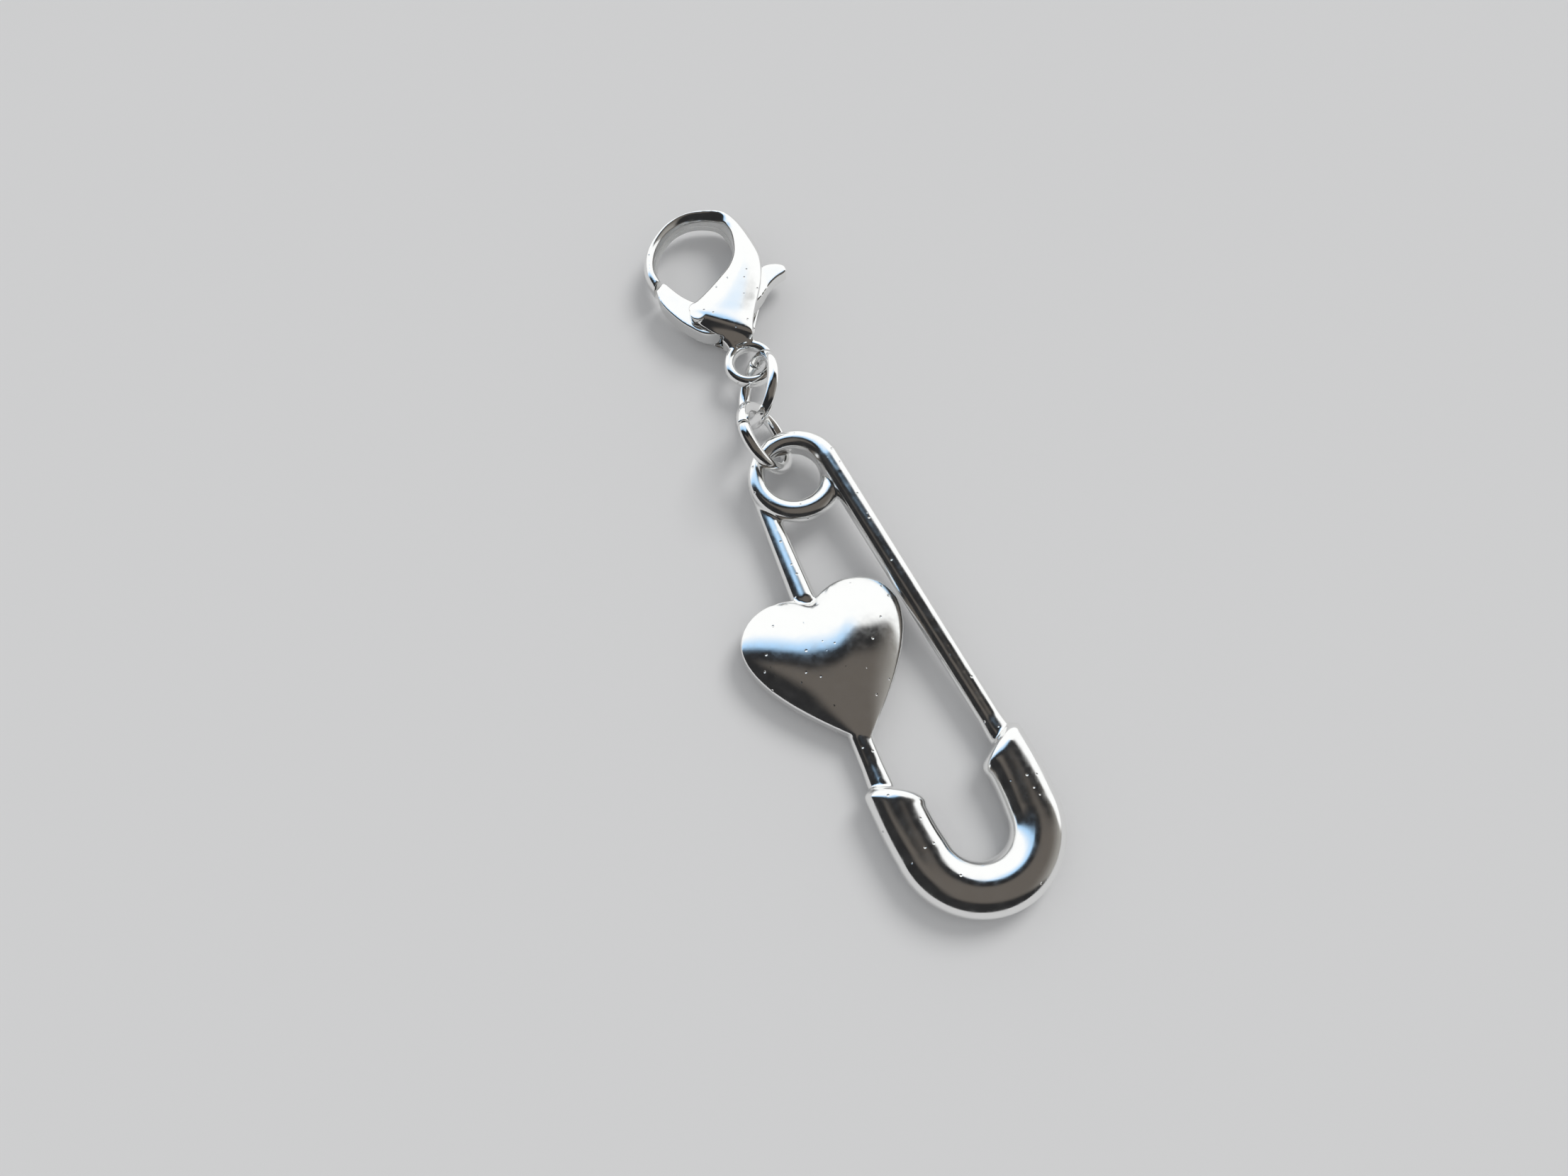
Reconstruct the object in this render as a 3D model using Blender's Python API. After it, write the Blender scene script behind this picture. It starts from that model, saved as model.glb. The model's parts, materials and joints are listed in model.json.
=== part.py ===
"""Safety pin charm: a cast heart pin on two jump rings and a lobster clasp.

Metres, +Z up. The pin lies along +Y with its U-shaped cap at the origin. Its coil end is propped up by the
lower jump ring, which passes under it, so the whole casting is tipped by a small angle. The origin is the
middle of the flat back under the bend of the cap.
"""
import math

import bmesh
import bpy
import numpy as np
from mathutils import Matrix, Vector

# Wire of the pin casting
LEG_DIAMETER_AT_COIL = 0.00172
LEG_DIAMETER_AT_CAP = 0.00155
COIL_WIRE = 0.0016
COIL_WAIST = 0.00114
COIL_WAIST_ANGLE = math.radians(135)
COIL_RADIUS = 0.00255
COIL_OFFSET = -0.0001
COIL_TURNS = 1.5
COIL_PITCH = 0.00066
COIL_FROM_CAP = 0.02595
LEG_FOOT_X = 0.0041
LEG_FOOT_FROM_CAP = 0.0049
CAP_END_AXIS_HEIGHT = 0.0011
COIL_LEG_BLEND = 4.0
LOWER_LEG_LIFT = 1.05
LOWER_LEG_OVERLAP = 0.0009
LOWER_LEG_INSIDE_CAP = 0.0013
# The leg runs down into the heart's notch: distance past the notch, radius and height, all by leg radius
LEG_END = ((-1.1, 0.45, 0.85), (0.0, 0.84, 0.84), (0.7, 1.0, 1.0))
# How far along the other leg its last points are, where 1 is the cap's end
LEG_IN_CAP = (0.96, 1.0, 1.06)
PROP_HEIGHT = 0.0006

# U-shaped cap
CAP_BEND_RADIUS = 0.00372
CAP_WIDTH = 0.0035
CAP_HALF_HEIGHT = 0.00145
CAP_AXIS_HEIGHT = 0.0013
CAP_ARM_LENGTH = 0.00412
CAP_ARM_LEAN = 0.0002
CAP_ARM_TAPER = 0.0002
CAP_END_SLANT = math.radians(31)
CAP_END_ROUND = 0.00072
CAP_END_DISC = (0.3, 0.00006)
WEB_FLARE = 0.00008

# Heart
HEART_HALF_WIDTH = 0.00541
HEART_LOBE_TOP = 0.00522
HEART_NOTCH = 0.0043
HEART_TIP = 0.00543
HEART_LOBE_X = 0.00235
HEART_WIDEST_Y = 0.0025
HEART_FROM_FOOT = 0.0081
HEART_OFFSET = 0.00026
HEART_BACK = 0.0003
HEART_RIM = 0.00145
HEART_TOP = 0.0029
HEART_DOME_POWER = 0.85
HEART_RIM_ROUND = 0.00012
HEART_CENTRE = Vector((0.0, 0.0006))
# The valley that runs down from the notch: share of the dome's height, half width, and where it starts
HEART_VALLEY_DEPTH = 0.14
HEART_VALLEY_HALF_WIDTH = 0.0013
HEART_VALLEY_FROM = -0.0018
# Handles of the outline's curves, and each curve's share of the points
HEART_NOTCH_HANDLE = Vector((0.00065, 0.00055))
HEART_LOBE_HANDLES = (0.0009, 0.0016)
HEART_SIDE_HANDLES = (0.00165, 0.0026)
HEART_TIP_HANDLE = Vector((0.0024, 0.0022))
HEART_SHARES = (0.16, 0.36, 0.48)

# Jump rings
RING_OUTER_DIAMETER = 0.0056
RING_WIRE = 0.00085
RING_CUT = 0.00012
LINK_GAP = 0.00012
EYE_LINK_GAP = 0.00018
LOWER_RING_AROUND_COIL = math.radians(103)
LOWER_RING_PULL = 0.00078
LOWER_RING_NORMAL = Vector((0.82, -0.1, 0.563)).normalized()
LOWER_LINK_ANGLE = math.radians(175.5)
LOWER_RING_CUT_ANGLE = math.radians(260)
UPPER_RING_CUT_ANGLE = math.radians(168)
UPPER_RING_NORMAL = Vector((0.809, -0.385, -0.444)).normalized()

# Lobster clasp, in its own frame: u across, v from the eye to the hook, z up
CLASP_TURN = math.radians(-9.93)
CLASP_THICKNESS = 0.0030
CLASP_REACH = 0.01302
CLASP_PROP_HEIGHT = 0.0003
EYE_RADIUS = 0.00146
EYE_WIDTH = 0.00078
EYE_HEIGHT = 0.0011
EYE_OFFSET = Vector((-0.00005, -0.00033, 0.0))
EYE_LINK_ANGLE = math.radians(-96)
CLASP_CROWN = 0.42
LEVER_THICKNESS = 0.0014
LEVER_GAP = 0.00009
TAB_THICKNESS = 0.00105
TAB_NECK = (0.0012, 0.0028)
LEVER_PIVOT = Vector((-0.0012, 0.0036, 0.0))
RIVET_DIAMETER = 0.0008
RIVET_GAP = 0.00005
RIVET_LENGTH = 0.0025
RIVET_FROM_BACK = 0.00008
SPRING_WIRE = 0.00014
SPRING_RADIUS = 0.00064
SPRING_PITCH = 0.00024
SPRING_TURNS = 2.25
SPRING_ARM = 0.0009
SPRING_GAP = 0.00008
# Directions of the spring's arms, against the neck and under the lever's tail, and the room beyond them
SPRING_ARM_ANGLES = (math.radians(-62), math.radians(24))
SPRING_ROOM = (math.radians(50), math.radians(30))

# Smoothness of the solids
WIRE_SIDES = 12
COIL_POINTS_PER_TURN = 26
RING_POINTS = 30
HEART_POINTS = 64
HEART_RINGS = 9
HEART_RING_SPREAD = 1.25
CAP_SIDES = 24
CAP_BEND_STEPS = 20
CLASP_STEPS = 3
CLASP_ARC_STEPS = 5
EYE_STEPS = 28
BORE_SIDES = 24
WELD_DISTANCE = 0.000012

MM = 0.001
PIN_TIP_ANGLE = math.atan2(PROP_HEIGHT, COIL_FROM_CAP + CAP_BEND_RADIUS)
RING_RADIUS = (RING_OUTER_DIAMETER - RING_WIRE) / 2
CAP_CENTRE_Y = CAP_BEND_RADIUS
COIL_CENTRE = Vector((COIL_OFFSET, CAP_CENTRE_Y + COIL_FROM_CAP, 0.0))
SILVER = (0.93, 0.93, 0.92, 1.0)


def clear_scene():
    for obj in list(bpy.data.objects):
        bpy.data.objects.remove(obj)


def collection(name):
    made = bpy.data.collections.new(name)
    bpy.context.scene.collection.children.link(made)
    return made


def plated(name, roughness):
    material = bpy.data.materials.new(name)
    material.use_nodes = True
    surface = material.node_tree.nodes["Principled BSDF"]
    surface.inputs["Base Color"].default_value = SILVER
    surface.inputs["Metallic"].default_value = 1.0
    surface.inputs["Roughness"].default_value = roughness
    return material


def mesh_object(name, bm, group):
    """Close the bmesh into a named object with its faces pointing out."""
    bmesh.ops.remove_doubles(bm, verts=bm.verts, dist=1e-8)
    bmesh.ops.recalc_face_normals(bm, faces=bm.faces)
    mesh = bpy.data.meshes.new(name)
    bm.to_mesh(mesh)
    bm.free()
    mesh.shade_smooth()
    mesh.set_sharp_from_angle(angle=math.radians(40))
    obj = bpy.data.objects.new(name, mesh)
    group.objects.link(obj)
    return obj


def loft(rings, closed=False):
    """Skin a list of rings, each a list of points, and close both ends with a face."""
    bm = bmesh.new()
    rows = [[bm.verts.new(p) for p in ring] for ring in rings]
    pairs = list(zip(rows, rows[1:]))
    if closed:
        pairs.append((rows[-1], rows[0]))
    for near, far in pairs:
        count = len(near)
        for i in range(count):
            j = (i + 1) % count
            bm.faces.new((near[i], near[j], far[j], far[i]))
    if not closed:
        bm.faces.new(rows[0])
        bm.faces.new(rows[-1])
    return bm


def tube(name, points, radii, group, sides=WIRE_SIDES):
    """A round wire through the points, as a welded mesh."""
    curve = bpy.data.curves.new(name, "CURVE")
    curve.dimensions = "3D"
    curve.bevel_depth = 1.0
    curve.bevel_resolution = sides // 2 - 2
    curve.use_fill_caps = True
    spline = curve.splines.new("POLY")
    spline.points.add(len(points) - 1)
    for control, place, radius in zip(spline.points, points, radii):
        control.co = (*place, 1.0)
        control.radius = radius
    wire = bpy.data.objects.new(name + "_path", curve)
    group.objects.link(wire)
    bpy.context.view_layer.update()
    seen = wire.evaluated_get(bpy.context.evaluated_depsgraph_get())
    bm = bmesh.new()
    bm.from_mesh(bpy.data.meshes.new_from_object(seen))
    bpy.data.objects.remove(wire)
    return mesh_object(name, bm, group)


def add_boolean(obj, tool, operation):
    """Join or cut with a helper object, which is kept as a wire guide."""
    tool.hide_render = True
    tool.display_type = "WIRE"
    step = obj.modifiers.new(tool.name, "BOOLEAN")
    step.operation = operation
    step.object = tool
    step.solver = "EXACT"
    step.use_self = operation == "UNION"


def weld(obj):
    """Merge the slivers that the booleans leave along the joins."""
    step = obj.modifiers.new("weld", "WELD")
    step.merge_threshold = WELD_DISTANCE


def smoothstep(t):
    t = min(1.0, max(0.0, t))
    return t * t * (3.0 - 2.0 * t)


def mix(a, b, t):
    return a + (b - a) * t


def leg_line(side):
    """Foot of a leg, its direction towards the coil, and its length to where it meets the coil."""
    foot = Vector((side * LEG_FOOT_X, CAP_CENTRE_Y + LEG_FOOT_FROM_CAP))
    to_coil = COIL_CENTRE.to_2d() - foot
    angle = math.atan2(to_coil.y, to_coil.x) - side * math.asin(COIL_RADIUS / to_coil.length)
    length = math.sqrt(to_coil.length_squared - COIL_RADIUS ** 2)
    return foot, Vector((math.cos(angle), math.sin(angle))), length


def coil_height(turned):
    """Height of the coil's centreline after this many turns from the left leg."""
    return LEG_DIAMETER_AT_COIL / 2 + COIL_PITCH * turned


def coil_place(angle, turned):
    """A point on the coil's centreline."""
    return COIL_CENTRE + Vector((COIL_RADIUS * math.cos(angle), COIL_RADIUS * math.sin(angle), coil_height(turned)))


def coil_diameter(angle, turned):
    """The wire thins to a waist where the lower ring goes round it, and swells again into the two legs."""
    to_end = min(turned, COIL_TURNS - turned) * COIL_LEG_BLEND
    wire = mix(LEG_DIAMETER_AT_COIL, COIL_WIRE, smoothstep(to_end))
    return mix(wire, COIL_WAIST, (0.5 + 0.5 * math.cos(angle - COIL_WAIST_ANGLE)) ** 1.5)


def coil_wire(group):
    """Left leg from the heart's notch, one and a half turns of coil, and the right leg down to the cap."""
    foot, along, _ = leg_line(-1)
    end, back, length = leg_line(1)
    start = HEART_FROM_FOOT + HEART_NOTCH
    points = []
    radii = []
    leg_radius = LEG_DIAMETER_AT_COIL / 2
    for step, share, height in LEG_END:
        place = foot + along * (start + step * leg_radius)
        points.append(Vector((*place, coil_height(0.0) * height)))
        radii.append(leg_radius * share)
    first = math.atan2(along.y, along.x) + math.pi / 2
    last = math.atan2(back.y, back.x) - math.pi / 2 - math.tau
    turns = (first - last) / math.tau
    count = round(COIL_POINTS_PER_TURN * turns)
    for i in range(count + 1):
        angle = mix(first, last, i / count)
        turned = COIL_TURNS * i / count
        points.append(coil_place(angle, turned))
        radii.append(coil_diameter(angle, turned) / 2)
    top = coil_height(COIL_TURNS)
    for share in LEG_IN_CAP:
        place = end + back * length * (1.0 - share)
        points.append(Vector((*place, mix(top, CAP_END_AXIS_HEIGHT, min(1.0, share)))))
        radii.append(LEG_DIAMETER_AT_CAP / 2 + (WEB_FLARE if share >= 1.0 else 0.0))
    return tube("coil_and_legs", points, radii, group)


def lower_leg(group):
    """The stretch of the left leg from the heart's tip into the cap."""
    foot, along, _ = leg_line(-1)
    radius = LEG_DIAMETER_AT_CAP / 2
    tip = HEART_FROM_FOOT - HEART_TIP
    half_way = tip / 2
    level = radius * LOWER_LEG_LIFT
    points = []
    radii = []
    for distance in (tip + LOWER_LEG_OVERLAP, half_way, 0.0, -LOWER_LEG_INSIDE_CAP):
        place = foot + along * distance
        height = mix(CAP_END_AXIS_HEIGHT, level, min(1.0, max(0.0, distance / tip)))
        points.append(Vector((*place, height)))
        radii.append(radius + (WEB_FLARE if distance <= 0.0 else 0.0))
    return tube("lower_leg", points, radii, group)


def bezier(a, b, c, d, t):
    s = 1.0 - t
    return a * s ** 3 + b * (3 * s * s * t) + c * (3 * s * t * t) + d * t ** 3


def heart_outline(count):
    """Points round the heart, anticlockwise from the notch on the left side, back to the notch."""
    notch = Vector((0.0, HEART_NOTCH))
    lobe = Vector((HEART_LOBE_X, HEART_LOBE_TOP))
    side = Vector((HEART_HALF_WIDTH, HEART_WIDEST_Y))
    tip = Vector((0.0, -HEART_TIP))
    across = Vector((1.0, 0.0))
    up = Vector((0.0, 1.0))
    right = (
        (notch, notch + HEART_NOTCH_HANDLE, lobe - across * HEART_LOBE_HANDLES[0], lobe),
        (lobe, lobe + across * HEART_LOBE_HANDLES[1], side + up * HEART_SIDE_HANDLES[0], side),
        (side, side - up * HEART_SIDE_HANDLES[1], tip + HEART_TIP_HANDLE, tip),
    )
    half = []
    for piece, share in zip(right, HEART_SHARES):
        steps = max(2, round(count / 2 * share))
        half += [bezier(*piece, i / steps) for i in range(steps)]
    mirrored = [Vector((-p.x, p.y)) for p in reversed(half[1:])]
    return half + [tip] + mirrored


def membrane(points, triangles, fixed):
    """Height of a soap film blown up over the triangles and held down at the fixed points, from 0 to 1."""
    size = len(points)
    stiffness = np.zeros((size, size))
    load = np.zeros(size)
    for tri in triangles:
        corners = points[list(tri)]
        area = abs(np.cross(corners[1] - corners[0], corners[2] - corners[0])) / 2
        for k in range(3):
            i, j, other = tri[k], tri[(k + 1) % 3], tri[(k + 2) % 3]
            first = points[i] - points[other]
            second = points[j] - points[other]
            weight = float(first @ second) / max(abs(float(np.cross(first, second))), 1e-14) / 2
            stiffness[i, j] -= weight
            stiffness[j, i] -= weight
            stiffness[i, i] += weight
            stiffness[j, j] += weight
            load[i] += area / 3
    free = np.setdiff1d(np.arange(size), fixed)
    height = np.zeros(size)
    height[free] = np.linalg.solve(stiffness[np.ix_(free, free)], load[free])
    return height / height.max()


def heart(group):
    """Flat-backed heart with an upright rim wall and a domed face that dips towards the notch."""
    outline = heart_outline(HEART_POINTS)
    count = len(outline)
    centre = HEART_CENTRE
    plan = []
    for ring in range(HEART_RINGS):
        share = 1.0 - (ring / HEART_RINGS) ** HEART_RING_SPREAD
        plan += [centre + (p - centre) * share for p in outline]
    plan.append(centre)
    triangles = []
    for ring in range(HEART_RINGS - 1):
        for i in range(count):
            j = (i + 1) % count
            a, b = ring * count + i, ring * count + j
            triangles += [(a, b, b + count), (a, b + count, a + count)]
    last = (HEART_RINGS - 1) * count
    triangles += [(last + i, last + (i + 1) % count, len(plan) - 1) for i in range(count)]
    flat = np.array([p[:] for p in plan])
    down = np.clip((flat[:, 1] - HEART_VALLEY_FROM) / (HEART_NOTCH - HEART_VALLEY_FROM), 0.0, 1.0)
    valley = np.exp(-(flat[:, 0] / HEART_VALLEY_HALF_WIDTH) ** 2) * down ** 2 * (3.0 - 2.0 * down)
    height = membrane(flat, triangles, np.arange(count)) ** HEART_DOME_POWER
    height *= 1.0 - HEART_VALLEY_DEPTH * valley
    bm = bmesh.new()
    dome = [bm.verts.new((*p, HEART_RIM + (HEART_TOP - HEART_RIM) * h)) for p, h in zip(plan, height)]
    for tri in triangles:
        bm.faces.new([dome[i] for i in tri])
    shrink = 1.0 - HEART_RIM_ROUND / HEART_HALF_WIDTH
    wall = [bm.verts.new((*p, HEART_BACK + HEART_RIM_ROUND)) for p in outline]
    back = [bm.verts.new((*(centre + (p - centre) * shrink), HEART_BACK)) for p in outline]
    for i in range(count):
        j = (i + 1) % count
        bm.faces.new((dome[i], dome[j], wall[j], wall[i]))
        bm.faces.new((wall[i], wall[j], back[j], back[i]))
    bm.faces.new(back)
    obj = mesh_object("heart", bm, group)
    foot, along, _ = leg_line(-1)
    right = Vector((along.y, -along.x))
    place = foot + along * HEART_FROM_FOOT + right * HEART_OFFSET
    obj.location = (place.x, place.y, 0.0)
    obj.rotation_euler.z = math.atan2(along.y, along.x) - math.pi / 2
    return obj


def cap_section(half_width, half_height):
    """Ellipse with its underside cut flat on the table, as (outward, height) pairs."""
    section = []
    for i in range(CAP_SIDES):
        angle = math.tau * (i + 0.5) / CAP_SIDES
        across = half_width * math.cos(angle)
        height = CAP_AXIS_HEIGHT + half_height * math.sin(angle)
        section.append((across, max(0.0, height)))
    return section


def cap(group):
    """U-shaped cap lofted along its bend, with slanted, rounded arm ends."""
    half = CAP_WIDTH / 2
    section = cap_section(half, CAP_HALF_HEIGHT)
    slant = math.tan(CAP_END_SLANT)
    rings = []

    def arm_ring(side, share, shrink, push):
        """One ring across an arm: share is 0 at the bend and 1 at the slanted end."""
        ring = []
        for across, height in section:
            n = across * shrink
            z = mix(CAP_AXIS_HEIGHT, height, shrink)
            pulled_in = (CAP_ARM_LEAN + CAP_ARM_TAPER * (n + half) / CAP_WIDTH) * share ** 2
            x = side * (CAP_BEND_RADIUS + n - pulled_in - push * math.sin(CAP_END_SLANT))
            y = CAP_CENTRE_Y + share * (CAP_ARM_LENGTH + n * slant) + push * math.cos(CAP_END_SLANT)
            ring.append(Vector((x, y, z)))
        return ring

    rounded = []
    for step in (4, 3, 2, 1):
        angle = math.pi / 2 * step / 4
        shrink = 1.0 - CAP_END_ROUND / half * (1.0 - math.cos(angle))
        rounded.append((shrink, CAP_END_ROUND * math.sin(angle) - CAP_END_ROUND))
    ends = [CAP_END_DISC] + [(shrink, push) for shrink, push in rounded]
    rings += [arm_ring(-1, 1.0, shrink, push) for shrink, push in ends]
    rings += [arm_ring(-1, share, 1.0, -CAP_END_ROUND * share) for share in (1.0, 0.66, 0.33)]
    for i in range(CAP_BEND_STEPS + 1):
        angle = math.pi + math.pi * i / CAP_BEND_STEPS
        ring = []
        for across, height in section:
            reach = CAP_BEND_RADIUS + across
            ring.append(Vector((reach * math.cos(angle), CAP_CENTRE_Y + reach * math.sin(angle), height)))
        rings.append(ring)
    rings += [arm_ring(1, share, 1.0, -CAP_END_ROUND * share) for share in (0.33, 0.66, 1.0)]
    rings += [arm_ring(1, 1.0, shrink, push) for shrink, push in reversed(ends)]
    return mesh_object("cap", loft(rings), group)


def pin_casting(group, guides, material):
    """The pin in one piece: coil and legs, heart and cap, tipped up at the coil end."""
    obj = cap(group)
    obj.name = "pin_casting"
    obj.data.name = "pin_casting"
    obj.data.materials.append(material)
    tipped = bpy.data.objects.new("pin_tip", None)
    group.objects.link(tipped)
    tipped.rotation_euler.x = PIN_TIP_ANGLE
    obj.parent = tipped
    for piece in (coil_wire(guides), lower_leg(guides), heart(guides)):
        piece.parent = tipped
        add_boolean(obj, piece, "UNION")
    weld(obj)
    return obj


def ring_axes(normal):
    level = normal.cross(Vector((0.0, 0.0, 1.0))).normalized()
    return level, normal.cross(level)


def ring_rest_height(normal):
    """Height of a ring's centre when its lowest point lies on the table."""
    return RING_WIRE / 2 + RING_RADIUS * math.sqrt(1.0 - normal.z ** 2)


def lower_ring_centre():
    reach = COIL_RADIUS + LOWER_RING_PULL
    return Vector((reach * math.cos(LOWER_RING_AROUND_COIL),
                   COIL_CENTRE.y + reach * math.sin(LOWER_RING_AROUND_COIL),
                   ring_rest_height(LOWER_RING_NORMAL)))


def lower_link():
    """Where the lower ring's wire passes through the upper ring."""
    level, rising = ring_axes(LOWER_RING_NORMAL)
    offset = level * math.cos(LOWER_LINK_ANGLE) + rising * math.sin(LOWER_LINK_ANGLE)
    return lower_ring_centre() + offset * RING_RADIUS


def step_along_ring(normal, rise, length):
    """A step of this length in the ring's plane that climbs by rise and heads away from the pin."""
    level, rising = ring_axes(normal)
    up = rise / rising.z
    across = math.sqrt(max(0.0, length ** 2 - up ** 2))
    return rising * up + level * math.copysign(across, level.y)


def upper_ring_centre():
    link = lower_link()
    rise = ring_rest_height(UPPER_RING_NORMAL) - link.z
    return link + step_along_ring(UPPER_RING_NORMAL, rise, RING_RADIUS - RING_WIRE - LINK_GAP)


def eye_link():
    """Where the clasp's eye passes through the upper ring, propped up by that ring's wire."""
    centre = upper_ring_centre()
    rise = CLASP_THICKNESS / 2 + CLASP_PROP_HEIGHT - centre.z
    eye_half = (EYE_WIDTH + EYE_HEIGHT) / 4
    return centre + step_along_ring(UPPER_RING_NORMAL, rise, RING_RADIUS - RING_WIRE / 2 - eye_half - EYE_LINK_GAP)


def jump_ring(name, centre, normal, cut_angle, group, material):
    """A round wire bent to a ring, with a fine cut between its square ends."""
    level, rising = ring_axes(normal)
    half_cut = RING_CUT / RING_RADIUS / 2
    points = []
    for i in range(RING_POINTS + 1):
        angle = cut_angle + mix(half_cut, math.tau - half_cut, i / RING_POINTS)
        points.append((level * math.cos(angle) + rising * math.sin(angle)) * RING_RADIUS)
    obj = tube(name, points, [RING_WIRE / 2] * len(points), group)
    obj.location = centre
    obj.data.materials.append(material)
    return obj


def spline(points, steps):
    """Smooth curve through the points, by Catmull and Rom's rule, with the given steps a span."""
    rows = [np.array(p, float) for p in points]
    rows = [2 * rows[0] - rows[1]] + rows + [2 * rows[-1] - rows[-2]]
    curve = []
    for a, b, c, d in zip(rows, rows[1:], rows[2:], rows[3:]):
        for i in range(steps):
            t = i / steps
            curve.append(0.5 * (2 * b + (c - a) * t + (2 * a - 5 * b + 4 * c - d) * t * t
                                + (3 * b - a - 3 * c + d) * t ** 3))
    curve.append(rows[-2])
    return curve


# Sections of the clasp body in millimetres: outer edge u, v; inner edge u, v; half height; how much of the
# half height is an upright wall at the inner edge and at the outer edge
CLASP_SECTIONS_HALF = 1.5
CLASP_SECTIONS = (
    (-5.26, 7.09, -4.55, 7.57, 0.95, 0.55, 0.20),
    (-5.55, 8.50, -4.68, 8.60, 1.02, 0.42, 0.15),
    (-5.28, 10.05, -4.36, 9.74, 1.06, 0.36, 0.12),
    (-4.48, 11.32, -3.75, 10.76, 1.08, 0.34, 0.12),
    (-3.10, 12.50, -2.72, 11.70, 1.10, 0.34, 0.12),
    (-1.50, 13.02, -1.50, 12.16, 1.12, 0.36, 0.12),
    (0.00, 12.87, -0.22, 11.98, 1.16, 0.42, 0.12),
    (1.30, 12.25, 0.65, 11.46, 1.24, 0.52, 0.14),
    (2.15, 11.14, 1.10, 10.62, 1.34, 0.60, 0.18),
    (2.68, 9.60, 1.20, 9.62, 1.42, 0.64, 0.26),
    (2.93, 8.05, 0.97, 8.36, 1.48, 0.66, 0.40),
    (2.78, 6.86, 0.38, 7.30, 1.50, 0.70, 0.52),
    (2.40, 5.62, -0.62, 6.38, 1.50, 0.72, 0.58),
    (1.90, 4.50, -1.75, 5.50, 1.50, 0.72, 0.60),
    (1.44, 3.58, -2.55, 4.94, 1.50, 0.72, 0.62),
    (1.07, 2.76, -3.08, 4.52, 1.50, 0.70, 0.64),
    (0.80, 2.20, -3.28, 3.94, 1.45, 0.66, 0.66),
    (0.70, 1.92, -3.14, 3.38, 1.32, 0.68, 0.66),
    (0.64, 1.72, -2.60, 2.82, 1.14, 0.74, 0.66),
    (0.61, 1.55, -2.02, 2.24, 0.98, 0.88, 0.66),
    (0.60, 1.40, -1.56, 1.78, 0.86, 0.82, 0.60),
    (0.64, 1.27, -1.32, 1.36, 0.77, 0.58, 0.50),
    (0.72, 1.14, -1.20, 0.96, 0.70, 0.30, 0.30),
)
# Slot for the lever between the front and the back wall, in millimetres
LEVER_SLOT = (
    (-4.40, 5.40), (-0.50, 7.90), (0.80, 7.75), (3.50, 7.30),
    (3.50, 2.60), (0.95, 2.30), (-0.80, 2.05), (-1.90, 1.50), (-4.40, 1.50),
)
# Lever outline in millimetres, anticlockwise from the gate's tip
LEVER_OUTLINE = (
    (-5.06, 6.90), (-5.00, 6.00), (-4.66, 5.10), (-4.03, 4.02), (-3.42, 3.26), (-2.72, 2.58),
    (-2.02, 2.30), (-1.20, 2.35), (-0.45, 2.62), (0.10, 3.20), (0.60, 3.62), (1.40, 3.98), (2.14, 4.53),
    (2.93, 5.37), (3.63, 5.85), (4.27, 6.12), (4.43, 6.40), (4.30, 6.76), (3.85, 7.02), (3.20, 7.10),
    (2.50, 6.92), (1.50, 6.10), (0.40, 5.35), (-0.80, 4.95), (-1.90, 4.95), (-2.61, 5.24), (-3.09, 5.62),
    (-3.56, 6.18), (-3.98, 6.82), (-4.24, 7.26), (-4.40, 7.40), (-4.58, 7.34), (-4.86, 7.12),
)


def clasp_section(row):
    """One closed section of the clasp body across the line from its inner to its outer edge."""
    outer = Vector((row[0] * MM, row[1] * MM, 0.0))
    inner = Vector((row[2] * MM, row[3] * MM, 0.0))
    half = row[4] / CLASP_SECTIONS_HALF * CLASP_THICKNESS / 2
    top = []
    for i in range(CLASP_ARC_STEPS + 1):
        angle = math.pi / 2 * i / CLASP_ARC_STEPS
        rise = row[5] + (1.0 - row[5]) * math.sin(angle)
        top.append((CLASP_CROWN * (1.0 - math.cos(angle)), rise * half))
    for i in range(1, CLASP_ARC_STEPS + 2):
        angle = math.pi / 2 * i / (CLASP_ARC_STEPS + 1)
        rise = row[6] + (1.0 - row[6]) * math.cos(angle)
        top.append((CLASP_CROWN + (1.0 - CLASP_CROWN) * math.sin(angle), rise * half))
    side = top + [(share, -height) for share, height in reversed(top)]
    middle = CLASP_THICKNESS / 2
    return [inner.lerp(outer, share) + Vector((0.0, 0.0, middle + height)) for share, height in side]


def prism(name, outline, bottom, top, group):
    """A flat outline, given in millimetres, raised between two heights."""
    rings = [[Vector((u * MM, v * MM, z)) for u, v in outline] for z in (bottom, top)]
    return mesh_object(name, loft(rings), group)


def cylinder(name, centre, radius, bottom, top, group):
    bm = bmesh.new()
    place = Matrix.Translation((centre.x, centre.y, (bottom + top) / 2))
    bmesh.ops.create_cone(bm, cap_ends=True, segments=BORE_SIDES, radius1=radius, radius2=radius,
                          depth=top - bottom, matrix=place)
    return mesh_object(name, bm, group)


def eye_ring(group):
    """The clasp's eye, an upright oval wire bent to a ring."""
    rings = []
    for i in range(EYE_STEPS):
        around = math.tau * i / EYE_STEPS
        ring = []
        for k in range(WIRE_SIDES):
            angle = math.tau * k / WIRE_SIDES
            reach = EYE_RADIUS + EYE_WIDTH / 2 * math.cos(angle)
            height = CLASP_THICKNESS / 2 + EYE_HEIGHT / 2 * math.sin(angle)
            ring.append(EYE_OFFSET + Vector((reach * math.cos(around), reach * math.sin(around), height)))
        rings.append(ring)
    return mesh_object("eye", loft(rings, closed=True), group)


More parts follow.
